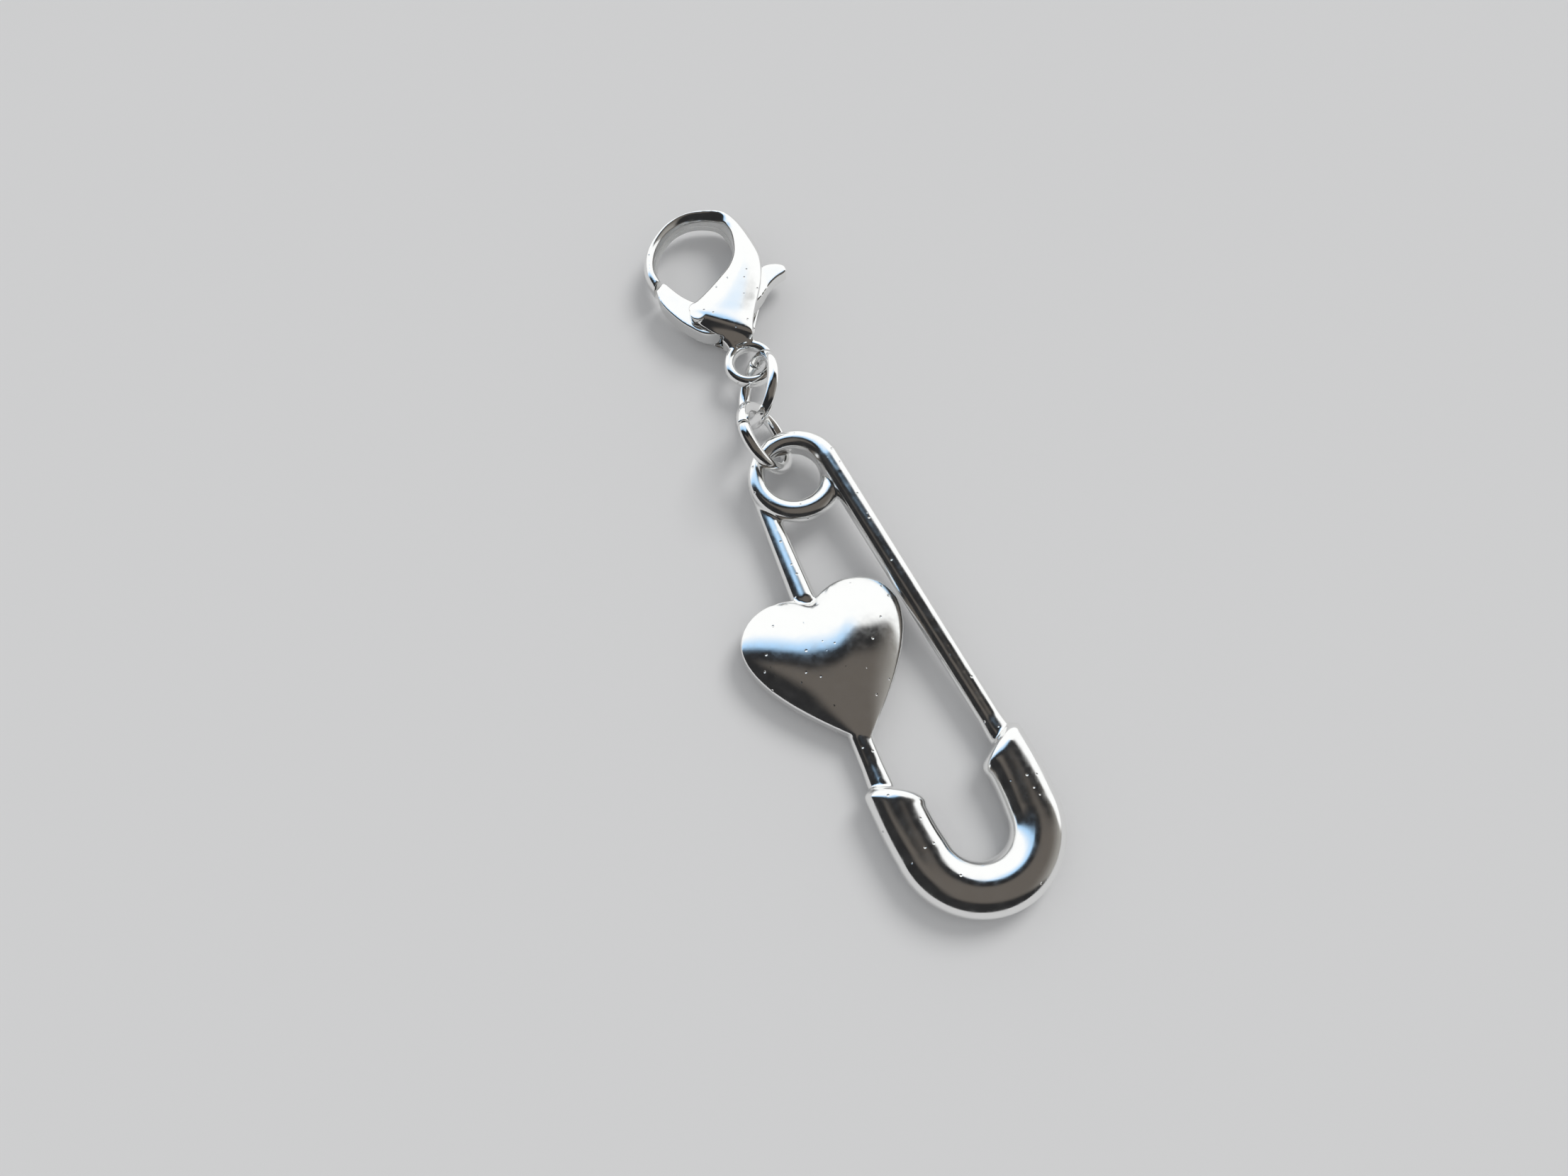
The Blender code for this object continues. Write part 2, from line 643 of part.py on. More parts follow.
def clasp_frame(group):
    """Empty at the middle of the clasp's eye, turned to the clasp's own direction."""
    frame = bpy.data.objects.new("clasp_frame", None)
    group.objects.link(frame)
    tip = -math.asin(CLASP_PROP_HEIGHT / CLASP_REACH)
    frame.rotation_euler = (tip, 0.0, CLASP_TURN)
    turned = Matrix.Rotation(CLASP_TURN, 4, "Z")
    across = Vector((math.cos(EYE_LINK_ANGLE), math.sin(EYE_LINK_ANGLE), 0.0))
    place = eye_link() - turned @ (EYE_OFFSET + across * EYE_RADIUS)
    frame.location = (place.x, place.y, CLASP_PROP_HEIGHT)
    return frame


def clasp_body(frame, group, guides, material):
    sections = [clasp_section(row) for row in spline(CLASP_SECTIONS, CLASP_STEPS)]
    obj = mesh_object("clasp_body", loft(sections), group)
    obj.data.materials.append(material)
    middle = CLASP_THICKNESS / 2
    half_slot = LEVER_THICKNESS / 2 + LEVER_GAP
    slot = prism("lever_slot", LEVER_SLOT, middle - half_slot, middle + half_slot, guides)
    bore_top = RIVET_FROM_BACK + RIVET_LENGTH + RIVET_GAP
    bore = cylinder("rivet_bore", LEVER_PIVOT, RIVET_DIAMETER / 2 + RIVET_GAP, -MM, bore_top, guides)
    eye = eye_ring(guides)
    for tool in (slot, bore, eye):
        tool.parent = frame
    obj.parent = frame
    add_boolean(obj, eye, "UNION")
    add_boolean(obj, slot, "DIFFERENCE")
    add_boolean(obj, bore, "DIFFERENCE")
    weld(obj)
    return obj


def lever_blank(frame, guides):
    """Side view of the lever's casting, thinned to the thumb tab, drawn right across the lever."""
    middle = CLASP_THICKNESS / 2
    far = CLASP_REACH / 2
    profile = ((-far, LEVER_THICKNESS), (TAB_NECK[0], LEVER_THICKNESS), (TAB_NECK[1], TAB_THICKNESS),
               (far, TAB_THICKNESS))
    below = [(u, middle - thick / 2) for u, thick in profile]
    above = [(u, middle + thick / 2) for u, thick in reversed(profile)]
    rings = [[Vector((u, v, z)) for u, z in below + above] for v in (0.0, CLASP_REACH)]
    blank = mesh_object("lever_blank", loft(rings), guides)
    blank.parent = frame
    return blank


def clasp_lever(frame, group, guides, material):
    """Gate, hub and thumb tab in one flat casting, bored for the rivet and hollowed for its spring."""
    bottom = CLASP_THICKNESS / 2 - LEVER_THICKNESS / 2
    top = bottom + LEVER_THICKNESS
    outline = [(p[0], p[1]) for p in spline(LEVER_OUTLINE + LEVER_OUTLINE[:1], 2)[:-1]]
    centred = [(u - LEVER_PIVOT.x / MM, v - LEVER_PIVOT.y / MM) for u, v in outline]
    obj = prism("clasp_lever", centred, bottom - MM, top + MM, group)
    obj.data.materials.append(material)
    obj.location = LEVER_PIVOT
    bore = cylinder("lever_bore", LEVER_PIVOT, RIVET_DIAMETER / 2 + RIVET_GAP, -MM, top + MM, guides)
    depth = SPRING_PITCH * SPRING_TURNS + SPRING_WIRE + 2 * SPRING_GAP
    well = SPRING_RADIUS + SPRING_WIRE / 2 + SPRING_GAP
    pocket = cylinder("spring_well", LEVER_PIVOT, well, bottom - MM, bottom + depth, guides)
    reach = (SPRING_RADIUS + SPRING_ARM + 3 * SPRING_WIRE) / MM
    start = SPRING_ARM_ANGLES[0] - SPRING_ROOM[0]
    stop = SPRING_ARM_ANGLES[1] + SPRING_ROOM[1]
    sector = [(LEVER_PIVOT.x / MM, LEVER_PIVOT.y / MM)]
    for i in range(9):
        angle = mix(start, stop, i / 8)
        sector.append((LEVER_PIVOT.x / MM + reach * math.cos(angle), LEVER_PIVOT.y / MM + reach * math.sin(angle)))
    room = prism("spring_room", sector, bottom - MM, bottom + depth, guides)
    obj.parent = frame
    blank = lever_blank(frame, guides)
    add_boolean(obj, blank, "INTERSECT")
    for tool in (pocket, room, bore):
        tool.parent = frame
        add_boolean(obj, tool, "DIFFERENCE")
    return obj


def lever_rivet(frame, group, material):
    """Plain pin pressed in from the back, blind under the front wall."""
    bottom = RIVET_FROM_BACK
    obj = cylinder("lever_rivet", Vector((0.0, 0.0, 0.0)), RIVET_DIAMETER / 2, bottom, bottom + RIVET_LENGTH, group)
    obj.location = LEVER_PIVOT
    obj.data.materials.append(material)
    obj.parent = frame
    return obj


def lever_spring(frame, group, material):
    """Small torsion spring round the rivet, with one arm to the neck and one along the tail."""
    first, second = SPRING_ARM_ANGLES
    floor = CLASP_THICKNESS / 2 - LEVER_THICKNESS / 2 + SPRING_GAP
    turn = math.tau * round(SPRING_TURNS) + (second - first)
    count = round(10 * SPRING_TURNS)
    points = []
    for i in range(count + 1):
        share = i / count
        angle = first + turn * share
        height = floor + SPRING_WIRE / 2 + SPRING_PITCH * SPRING_TURNS * share
        points.append(Vector((SPRING_RADIUS * math.cos(angle), SPRING_RADIUS * math.sin(angle), height)))
    out_first = Vector((math.cos(first), math.sin(first), 0.0)) * SPRING_ARM
    out_second = Vector((math.cos(second), math.sin(second), 0.0)) * SPRING_ARM
    points = [points[0] + out_first] + points + [points[-1] + out_second]
    obj = tube("lever_spring", points, [SPRING_WIRE / 2] * len(points), group, sides=8)
    obj.location = LEVER_PIVOT
    obj.data.materials.append(material)
    obj.parent = frame
    return obj


def main():
    clear_scene()
    parts = collection("safety_pin_charm")
    guides = collection("guides")
    bright = plated("bright_plating", 0.06)
    lever_finish = plated("lever_plating", 0.12)
    wire_finish = plated("ring_plating", 0.08)
    steel = plated("rivet_steel", 0.3)
    pin_casting(parts, guides, bright)
    jump_ring("lower_jump_ring", lower_ring_centre(), LOWER_RING_NORMAL, LOWER_RING_CUT_ANGLE, parts, wire_finish)
    jump_ring("upper_jump_ring", upper_ring_centre(), UPPER_RING_NORMAL, UPPER_RING_CUT_ANGLE, parts, wire_finish)
    frame = clasp_frame(parts)
    clasp_body(frame, parts, guides, bright)
    clasp_lever(frame, parts, guides, lever_finish)
    lever_rivet(frame, parts, steel)
    lever_spring(frame, parts, steel)


main()
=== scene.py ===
"""Dressing of the safety pin charm: polished castings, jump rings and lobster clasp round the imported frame.

Metres, +Z up, the pin along +Y with the bend of its cap at the origin. Each casting is built from its plain
forms at a fine pitch and skinned as one surface, so that its joins are filleted as plating leaves them.
"""

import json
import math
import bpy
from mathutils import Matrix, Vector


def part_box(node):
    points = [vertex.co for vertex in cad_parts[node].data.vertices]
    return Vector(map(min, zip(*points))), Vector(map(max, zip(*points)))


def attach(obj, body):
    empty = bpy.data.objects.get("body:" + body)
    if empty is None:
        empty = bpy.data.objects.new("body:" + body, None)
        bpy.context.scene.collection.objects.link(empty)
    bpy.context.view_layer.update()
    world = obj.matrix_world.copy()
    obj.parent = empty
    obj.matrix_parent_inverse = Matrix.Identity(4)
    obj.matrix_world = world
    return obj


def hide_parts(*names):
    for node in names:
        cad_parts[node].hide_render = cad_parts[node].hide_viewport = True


bl_info = {
    "name": "Safety pin charm",
    "version": (1, 0, 0),
    "blender": (4, 5, 0),
    "location": "3D View > Sidebar > Charm",
    "description": "Builds the dressed pieces of a heart safety pin charm round its frame",
    "category": "Object",
}

import bmesh
import bpy
import numpy as np
from bpy.props import FloatProperty, FloatVectorProperty, IntProperty, PointerProperty
from bpy.types import Operator, Panel, PropertyGroup
from mathutils import Euler, Matrix, Vector

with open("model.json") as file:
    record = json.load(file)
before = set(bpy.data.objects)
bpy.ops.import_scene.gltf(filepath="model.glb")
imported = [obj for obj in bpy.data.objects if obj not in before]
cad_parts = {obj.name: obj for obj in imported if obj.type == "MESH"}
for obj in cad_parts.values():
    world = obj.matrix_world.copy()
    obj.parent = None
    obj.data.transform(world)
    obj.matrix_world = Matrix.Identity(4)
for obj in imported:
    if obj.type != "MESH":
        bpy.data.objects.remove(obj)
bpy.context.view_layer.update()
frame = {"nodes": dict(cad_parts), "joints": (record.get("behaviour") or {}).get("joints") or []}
JOINTS = {joint["name"]: joint for joint in frame["joints"]}
MM = 0.001

# Pin casting: wire, coil and cap
COIL_WIRE = 1.6 * MM
COIL_WAIST = 1.14 * MM
COIL_WAIST_ANGLE = math.radians(135)
COIL_WAIST_POWER = 1.5
COIL_OFFSET = -0.1 * MM
COIL_TURNS = 1.5
COIL_PITCH = 0.66 * MM
COIL_FROM_CAP = 25.95 * MM
COIL_LEG_BLEND = 4.0
LEG_FOOT_X = 4.1 * MM
LEG_FOOT_FROM_CAP = 4.9 * MM
LOWER_LEG_LIFT = 1.05
LOWER_LEG_OVERLAP = 0.9 * MM
LOWER_LEG_INSIDE_CAP = 1.3 * MM
LOWER_LEG_CAP_HEIGHT = 0.82 * MM
# The short leg runs down into the heart's notch: distance past the notch, radius and height, by leg radius
LEG_END = ((-1.1, 0.45, 0.85), (-0.5, 0.68, 0.83), (0.0, 0.84, 0.84), (0.35, 0.95, 0.94), (0.7, 1.0, 1.0))
# Stations of the long leg at the cap, by its length: short of the cap's end, at it and inside
LONG_LEG_END = (0.96, 1.0, 1.06)
WEB_FLARE = 0.08 * MM
PROP_HEIGHT = 0.6 * MM
CAP_END_AXIS_HEIGHT = 1.1 * MM
CAP_HALF_HEIGHT = 1.45 * MM
CAP_AXIS_HEIGHT = 1.3 * MM
CAP_ARM_LENGTH = 4.12 * MM
CAP_ARM_LEAN = 0.2 * MM
CAP_ARM_TAPER = 0.2 * MM
CAP_END_SLANT = math.radians(31)
CAP_END_ROUND = 0.72 * MM
CAP_END_STEPS = 8
# The face of an arm's end is closed at these shares of the width, and stands proud by this
CAP_END_FACE = (0.02, 0.3)
CAP_END_PROUD = 0.06 * MM
# The stub of the casting's gate: place on the bend, half sizes in millimetres, where its back is cut off, how
# ragged it is, and its ripples' rate across, start and rate upward
GATE_SCAR_ANGLE = math.radians(-78)
GATE_SCAR_HEIGHT = 0.75 * MM
GATE_SCAR_SUNK = 0.12 * MM
GATE_SCAR_HALF = (0.42, 0.3, 0.34)
GATE_SCAR_FLAT = -0.55
GATE_SCAR_RAGGED = 0.12
GATE_SCAR_RIPPLE = (7.0, 2.0, 5.0)

# Heart, in its own frame: x across, y towards the notch
HEART_LOBE_TOP = 5.22 * MM
HEART_NOTCH = 4.3 * MM
HEART_TIP = 5.43 * MM
HEART_LOBE_X = 2.35 * MM
HEART_WIDEST_Y = 2.5 * MM
HEART_FROM_FOOT = 8.1 * MM
HEART_OFFSET = 0.26 * MM
HEART_BACK = 0.3 * MM
HEART_RIM = 1.45 * MM
HEART_RIM_ROUND = 0.12 * MM
HEART_CENTRE = Vector((0.0, 0.6 * MM))
HEART_DOME_POWER = 0.85
HEART_DOME_TERMS = 16
HEART_NOTCH_CORNER = math.radians(260)
HEART_VALLEY_DEPTH = 0.14
HEART_VALLEY_HALF_WIDTH = 1.3 * MM
HEART_VALLEY_FROM = -1.8 * MM
# Handles that draw the outline: at the notch, before and after a lobe's top, above and below the widest
# point, and at the tip
HEART_NOTCH_HANDLE = (0.65 * MM, 0.55 * MM)
HEART_LOBE_HANDLE_X = 1.45 * MM
HEART_SHOULDER = 1.6 * MM
HEART_SIDE_HANDLES = (1.65 * MM, 2.6 * MM)
HEART_TIP_HANDLE = (2.4 * MM, 2.2 * MM)
# Shares of the outline's points: notch to lobe, lobe to side, side to tip
HEART_SPANS = (0.16, 0.36, 0.48)
HEART_POINTS = 192
HEART_RINGS = 36
HEART_RING_POWER = 1.3

# Jump rings
LOWER_RING_NORMAL = Vector((0.82, -0.1, 0.563)).normalized()
UPPER_RING_NORMAL = Vector((0.809, -0.385, -0.444)).normalized()
LOWER_RING_CUT_ANGLE = math.radians(260)
UPPER_RING_CUT_ANGLE = math.radians(168)
# The eased edge at a cut: how far along it, and the share of the wire's radius there
CUT_EDGE = ((0.0, 0.8), (0.06, 0.93), (0.15, 1.0))
CUT_EDGE_SPAN = 0.02

# Lobster clasp, in its own frame: u across, v from the eye to the hook, z up
CLASP_TURN = math.radians(-9.93)
CLASP_REACH = 13.02 * MM
EYE_PROP = 0.3 * MM
CLASP_TIP = -math.asin(EYE_PROP / CLASP_REACH)
EYE_RADIUS = 1.46 * MM
EYE_WIDTH = 0.78 * MM
EYE_HEIGHT = 1.1 * MM
EYE_OFFSET = Vector((-0.05 * MM, -0.33 * MM, 0.0))
LEVER_PIVOT = Vector((-1.2 * MM, 3.6 * MM, 0.0))
LEVER_GAP = 0.09 * MM
TAB_THICKNESS = 1.05 * MM
TAB_NECK = (1.2 * MM, 2.8 * MM)
RIVET_GAP = 0.05 * MM
RIVET_TOP = 2.58 * MM
SPRING_WELL_DEPTH = 0.84 * MM
SPRING_WELL_RADIUS = 0.79 * MM
HOOK_HOLE = Vector((-1.8 * MM, 9.4 * MM, 0.0))
TOE = Vector((-2.70 * MM, 3.80 * MM, 0.0))
TOE_RADIUS = 0.58 * MM
TOE_HALF_HEIGHT = 1.45 * MM
# Up to this crown the inner side of a section is round; further out it turns into a flat bevel at this rate
BODY_CROWN = 0.42
HOOK_BEVEL = 5.5
# The unpolished wall inside the hook: where it fades in, how upright it is seen from above and from below,
# and how squarely it faces the hook's middle
RAW_FROM = 6.6 * MM
RAW_FADE = 0.8 * MM
RAW_UPRIGHT_ABOVE = 0.42
RAW_UPRIGHT_BELOW = 0.85
RAW_UPRIGHT_FADE = 0.15
RAW_FACING = 0.5
RAW_FACING_FADE = 0.2
PARTING_LINE = 0.11 * MM
# Sections of the clasp body in millimetres: outer edge u, v; inner edge u, v; half height; how much of the
# half height is an upright wall at the inner edge and at the outer edge; where between them the crown lies
SECTION_HALF = 1.5
SECTION_STEPS = 8
CLASP_SECTIONS = (
    (-5.26, 7.09, -4.55, 7.57, 0.95, 0.50, 0.20, 0.42),
    (-5.55, 8.50, -4.68, 8.60, 1.02, 0.44, 0.15, 0.46),
    (-5.26, 10.03, -4.36, 9.74, 1.02, 0.38, 0.12, 0.50),
    (-4.44, 11.27, -3.75, 10.76, 1.02, 0.36, 0.12, 0.54),
    (-3.08, 12.42, -2.72, 11.70, 1.02, 0.34, 0.12, 0.56),
    (-1.50, 12.93, -1.50, 12.14, 1.04, 0.34, 0.12, 0.56),
    (0.00, 12.80, -0.22, 11.96, 1.10, 0.36, 0.12, 0.55),
    (1.30, 12.25, 0.65, 11.46, 1.24, 0.46, 0.14, 0.54),
    (2.15, 11.14, 1.10, 10.62, 1.34, 0.56, 0.18, 0.40),
    (2.68, 9.60, 1.20, 9.62, 1.42, 0.64, 0.26, 0.36),
    (2.93, 8.05, 0.97, 8.36, 1.48, 0.66, 0.40, 0.38),
    (2.78, 6.86, 0.38, 7.30, 1.50, 0.70, 0.52, 0.42),
    (2.40, 5.62, -0.62, 6.38, 1.50, 0.72, 0.58, 0.42),
    (1.90, 4.50, -1.75, 5.50, 1.50, 0.72, 0.60, 0.42),
    (1.44, 3.58, -2.55, 4.94, 1.50, 0.76, 0.62, 0.40),
    (1.07, 2.72, -3.04, 4.72, 1.50, 0.82, 0.64, 0.36),
    (0.80, 1.92, -3.22, 4.46, 1.50, 0.88, 0.68, 0.32),
    (0.70, 1.54, -3.28, 4.16, 1.45, 0.90, 0.70, 0.32),
    (0.66, 1.38, -3.18, 3.76, 1.32, 0.88, 0.72, 0.36),
    (0.63, 1.29, -2.88, 3.28, 1.16, 0.84, 0.72, 0.42),
    (0.62, 1.24, -2.38, 2.68, 1.02, 0.84, 0.70, 0.42),
    (0.62, 1.20, -1.78, 1.98, 0.90, 0.84, 0.64, 0.42),
    (0.66, 1.17, -1.36, 1.40, 0.78, 0.58, 0.50, 0.42),
    (0.72, 1.14, -1.20, 0.96, 0.70, 0.30, 0.30, 0.42),
)
LEVER_SLOT = (
    (-4.40, 5.40), (-0.50, 7.90), (0.80, 7.75), (3.50, 7.30),
    (3.50, 2.60), (0.95, 2.30), (-0.80, 2.05), (-1.90, 1.50), (-4.40, 1.50),
)
LEVER_STEPS = 6
LEVER_OUTLINE = (
    (-5.06, 6.90), (-5.00, 6.00), (-4.66, 5.10), (-4.03, 4.02), (-3.42, 3.26), (-2.72, 2.58),
    (-2.02, 2.30), (-1.20, 2.35), (-0.45, 2.62), (0.10, 3.20), (0.60, 3.62), (1.40, 3.98), (2.14, 4.53),
    (2.93, 5.37), (3.63, 5.85), (4.27, 6.12), (4.43, 6.40), (4.30, 6.76), (3.85, 7.02), (3.20, 7.10),
    (2.50, 6.92), (1.50, 6.10), (0.40, 5.35), (-0.80, 4.95), (-1.90, 4.95), (-2.61, 5.24), (-3.09, 5.62),
    (-3.56, 6.18), (-3.98, 6.82), (-4.24, 7.26), (-4.40, 7.40), (-4.58, 7.34), (-4.86, 7.12),
)

# Surfaces of the castings: depth of the slow waves, pits to the metre, roughness where clear and where hazy
PIN_SURFACE = (0.012 * MM, 1700.0, (0.10, 0.20))
CLASP_SURFACE = (0.008 * MM, 1900.0, (0.08, 0.17))
LEVER_SURFACE = (0.006 * MM, 1900.0, (0.06, 0.16))
# Clouds in a finish: how many to the metre, how fine they go, how rough they are
CAST_WAVES = (520.0, 2.0, 0.4)
CAST_HAZE = (1500.0, 5.0, 0.65)
CAST_GRAIN = (9000.0, 4.0, 0.7)
WIRE_HAZE = (2200.0, 4.0, 0.6)
WIRE_LINES = (9000.0, 2.0, 0.5)
STEEL_TURNING = (6000.0, 3.0, 0.6)
FLOOR_TINT = (90.0, 3.0, 0.5)
CLOUD_RANGE = (0.3, 0.7)
HAZE_RANGE = (0.3, 0.75)
PITTED_ABOVE = 0.7
PIT_SLOPE = (0.05, 0.17)
GRAIN_DEPTH = 0.03 * MM
WIRE_GLOSS = (0.04, 0.13)
WIRE_HAZE_DEPTH = 0.004 * MM
WIRE_LINE_DEPTH = 0.0008 * MM
STEEL_GLOSS = (0.22, 0.38)
STEEL_DEPTH = 0.002 * MM

# Floor and window light
FLOOR_REACH = 1.5
# Painted shade: the floor's colour darkens from the first distance to the second, in metres, down to this
# share, standing in for a far table in less light
FLOOR_FADE = (0.09, 0.3)
FLOOR_FAR_SHADE = 0.5
FLOOR_GLOSS = (0.75, 0.85)
FLOOR_SHEEN = 0.1
WINDOW_SOFTNESS = math.radians(28)
WINDOW_COLOUR = (1.0, 0.99, 0.97)
WINDOW_PLACE = (0.6, 0.75)

# The room that polished metal mirrors. A place in it is right and up: 0 is overhead and 1 on the horizon.
# Each change starts and ends at the first two numbers, and runs from and to the next two, or from 0 to 1.
ROOM_DARK = (0.02, 0.02, 0.021)
ROOM_FURNITURE = (0.125, 0.111, 0.098)
ROOM_WALL = (0.34, 0.33, 0.31)
ROOM_SKY = (0.46, 0.74, 1.06)
ROOM_WHITE = (1.07, 1.08, 1.08)
ABOVE_NADIR = 1.001
SILL_RISE = (-0.16, 0.16, 0.09, 0.25)
SILL_FALL = (0.45, 0.9, 0.0, 0.16)
SILL_EDGE = (-0.035, 0.035)
BAND_BELOW_SILL = (-0.2, -0.12)
BAND_ENDS = (0.3, 0.7, 1.0, 0.0)
CORNER_TOWARDS = (-0.6, -0.8)
CORNER_FROM = (0.26, 0.4)
CORNER_ENDS = (-0.25, -0.05, 1.0, 0.0)
DARK_LEFT = (-0.35, -0.6)
WALL_RIGHT = (0.35, 0.9)
DARK_BELOW = (-0.5, -0.36, 1.0, 0.0)
GLARE_LEAN = 0.9
GLARE_FROM = (0.02, 0.2)

# Camera, and the picture's right and up directions laid down on the floor
CAMERA_PLACE = Vector((-15.325 * MM, -1.101 * MM, 74.152 * MM))
CAMERA_TILT = math.radians(20)
CAMERA_TURN = math.radians(-25.209)
CAMERA_LENS = 27.03
ROOM_RIGHT = (0.9048, -0.4259, 0.0)
ROOM_UP = (0.4259, 0.9048, 0.0)


def length(name, description, default):
    return FloatProperty(name=name, description=description, default=default, min=0.0, precision=5,
                         unit="LENGTH")


def share(name, description, default, top=1.0):
    return FloatProperty(name=name, description=description, default=default, min=0.0, max=top, precision=3,
                         subtype="FACTOR")


def colour(name, description, default):
    return FloatVectorProperty(name=name, description=description, default=default, size=3, min=0.0,
                               max=1.0, subtype="COLOR")


class PinSizes(PropertyGroup):
    """Sizes of the pin casting."""
    leg_at_coil: length("Leg at coil", "Wire diameter of the legs where they meet the coil", 1.72 * MM)
    leg_at_cap: length("Leg at cap", "Wire diameter of the legs where they enter the cap", 1.55 * MM)
    coil_radius: length("Coil radius", "Radius of the coil's centreline", 2.55 * MM)
    bend_radius: length("Cap bend", "Radius of the centreline of the cap's bend", 3.72 * MM)
    cap_width: length("Cap width", "Width of the cap across its arm", 3.5 * MM)
    heart_half_width: length("Heart half width", "From the heart's middle to the side of a lobe", 5.41 * MM)
    heart_top: length("Heart top", "Height of the heart's dome above the back", 2.9 * MM)
    skin: length("Skin pitch", "Pitch of the skin that joins the casting's forms", 0.075 * MM)
    polish: IntProperty(name="Polish", description="Smoothing passes over the skin", default=14, min=0)


class RingSizes(PropertyGroup):
    """Sizes of both jump rings."""
    outer_diameter: length("Outer diameter", "Outer diameter of a jump ring", 5.6 * MM)
    wire: length("Wire", "Wire diameter of a jump ring", 0.85 * MM)
    cut: length("Cut", "Width of the saw cut between a ring's ends", 0.12 * MM)


class ClaspSizes(PropertyGroup):
    """Sizes of the lobster clasp."""
    thickness: length("Thickness", "Thickness of the clasp body", 3.0 * MM)
    lever: length("Lever", "Thickness of the lever between the body's walls", 1.4 * MM)
    rivet: length("Rivet", "Diameter of the rivet that the lever turns on", 0.8 * MM)
    skin: length("Skin pitch", "Pitch of the skin that joins the clasp's forms", 0.06 * MM)
    polish: IntProperty(name="Polish", description="Smoothing passes over the skin", default=12, min=0)


class Finishes(PropertyGroup):
    """Colours and surface of the plating."""
    silver: colour("Silver", "Colour of the plating", (0.93, 0.93, 0.92))
    steel: colour("Steel", "Colour of the rivet and the spring", (0.62, 0.62, 0.62))
    pit_depth: length("Pit depth", "Depth of the fine pits in the plating", 0.03 * MM)
    wall_roughness: share("Wall roughness", "Roughness of the clasp's unpolished inner wall", 0.5)


class StageLook(PropertyGroup):
    """Floor and light."""
    floor: colour("Floor", "Colour of the floor", (0.70, 0.705, 0.715))
    daylight: share("Daylight", "Strength of the soft light from all round", 0.595, 4.0)
    window: share("Window", "Strength of the broad light from the upper right", 1.25, 10.0)


# Forms

def mix(a, b, t):
    return a + (b - a) * t


def smoothstep(t):
    t = min(1.0, max(0.0, t))
    return t * t * (3.0 - 2.0 * t)


def cubic(a, b, c, d, t):
    """Point on the curve from a to d that the handles b and c draw."""
    s = 1.0 - t
    return a * s ** 3 + b * (3 * s * s * t) + c * (3 * s * t * t) + d * t ** 3


def through(points, steps):
    """Smooth curve through the points, cubic between each two, with the given steps a span."""
    rows = [np.array(p, float) for p in points]
    rows = [2 * rows[0] - rows[1]] + rows + [2 * rows[-1] - rows[-2]]
    curve = []
    for a, b, c, d in zip(rows, rows[1:], rows[2:], rows[3:]):
        for i in range(steps):
            t = i / steps
            curve.append(0.5 * (2 * b + (c - a) * t + (2 * a - 5 * b + 4 * c - d) * t * t
                                + (3 * b - a - 3 * c + d) * t ** 3))
    curve.append(rows[-2])
    return curve


def loft(rings, closed=False):
    """Skin a list of rings, each a list of points, and close both ends with a face."""
    bm = bmesh.new()
    rows = [[bm.verts.new(p) for p in ring] for ring in rings]
    pairs = list(zip(rows, rows[1:]))
    if closed:
        pairs.append((rows[-1], rows[0]))
    for near, far in pairs:
        count = len(near)
        for i in range(count):
            j = (i + 1) % count
            bm.faces.new((near[i], near[j], far[j], far[i]))
    if not closed:
        bm.faces.new(rows[0])
        bm.faces.new(rows[-1])
    return bm


def piece(name, bm, matrix=None):
    """A named object in the scene from a closed bmesh, with its faces pointing out."""
    bmesh.ops.recalc_face_normals(bm, faces=bm.faces)
    mesh = bpy.data.meshes.new(name)
    bm.to_mesh(mesh)
    bm.free()
    if matrix is not None:
        mesh.transform(matrix)
    mesh.shade_smooth()
    obj = bpy.data.objects.new(name, mesh)
    bpy.context.scene.collection.objects.link(obj)
    return obj


def wire(name, points, radii, sides=40):
    """A round wire swept along the points without twist, closed at both ends."""
    places = [Vector(p) for p in points]
    heading = (places[1] - places[0]).normalized()
    across = heading.orthogonal().normalized()
    rings = []
    for i, (place, radius) in enumerate(zip(places, radii)):
        before = places[max(i - 1, 0)]
        after = places[min(i + 1, len(places) - 1)]
        turned = (after - before).normalized()
        across = heading.rotation_difference(turned) @ across
        heading = turned
        beside = heading.cross(across)
        ring = []
        for k in range(sides):
            angle = math.tau * k / sides
            ring.append(place + (across * math.cos(angle) + beside * math.sin(angle)) * radius)
        rings.append(ring)
    return piece(name, loft(rings))


def join(name, parts):
    """One object from several, which may overlap."""
    whole = bmesh.new()
    for part in parts:
        whole.from_mesh(part.data)
        bpy.data.objects.remove(part)
    mesh = bpy.data.meshes.new(name)
    whole.to_mesh(mesh)
    whole.free()
    obj = bpy.data.objects.new(name, mesh)
    bpy.context.scene.collection.objects.link(obj)
    return obj


def combine(obj, tool, operation):
    """Join or cut with another object, which is then removed."""
    step = obj.modifiers.new(tool.name, "BOOLEAN")
    step.operation = operation
    step.object = tool
    step.solver = "EXACT"
    settle(obj)
    bpy.data.objects.remove(tool)


def settle(obj):
    """Replace the object's mesh by what its modifiers make of it."""
    seen = obj.evaluated_get(bpy.context.evaluated_depsgraph_get())
    made = bpy.data.meshes.new_from_object(seen)
    old = obj.data
    obj.modifiers.clear()
    obj.data = made
    made.name = obj.name
    bpy.data.meshes.remove(old)


def skin(obj, pitch, passes):
    """Cover the object with one even surface, then smooth it as tumbling and plating do."""
    cover = obj.modifiers.new("skin", "REMESH")
    cover.mode = "VOXEL"
    cover.voxel_size = pitch
    rub = obj.modifiers.new("polish", "SMOOTH")
    rub.factor = 0.5
    rub.iterations = passes
    settle(obj)
    obj.data.shade_smooth()


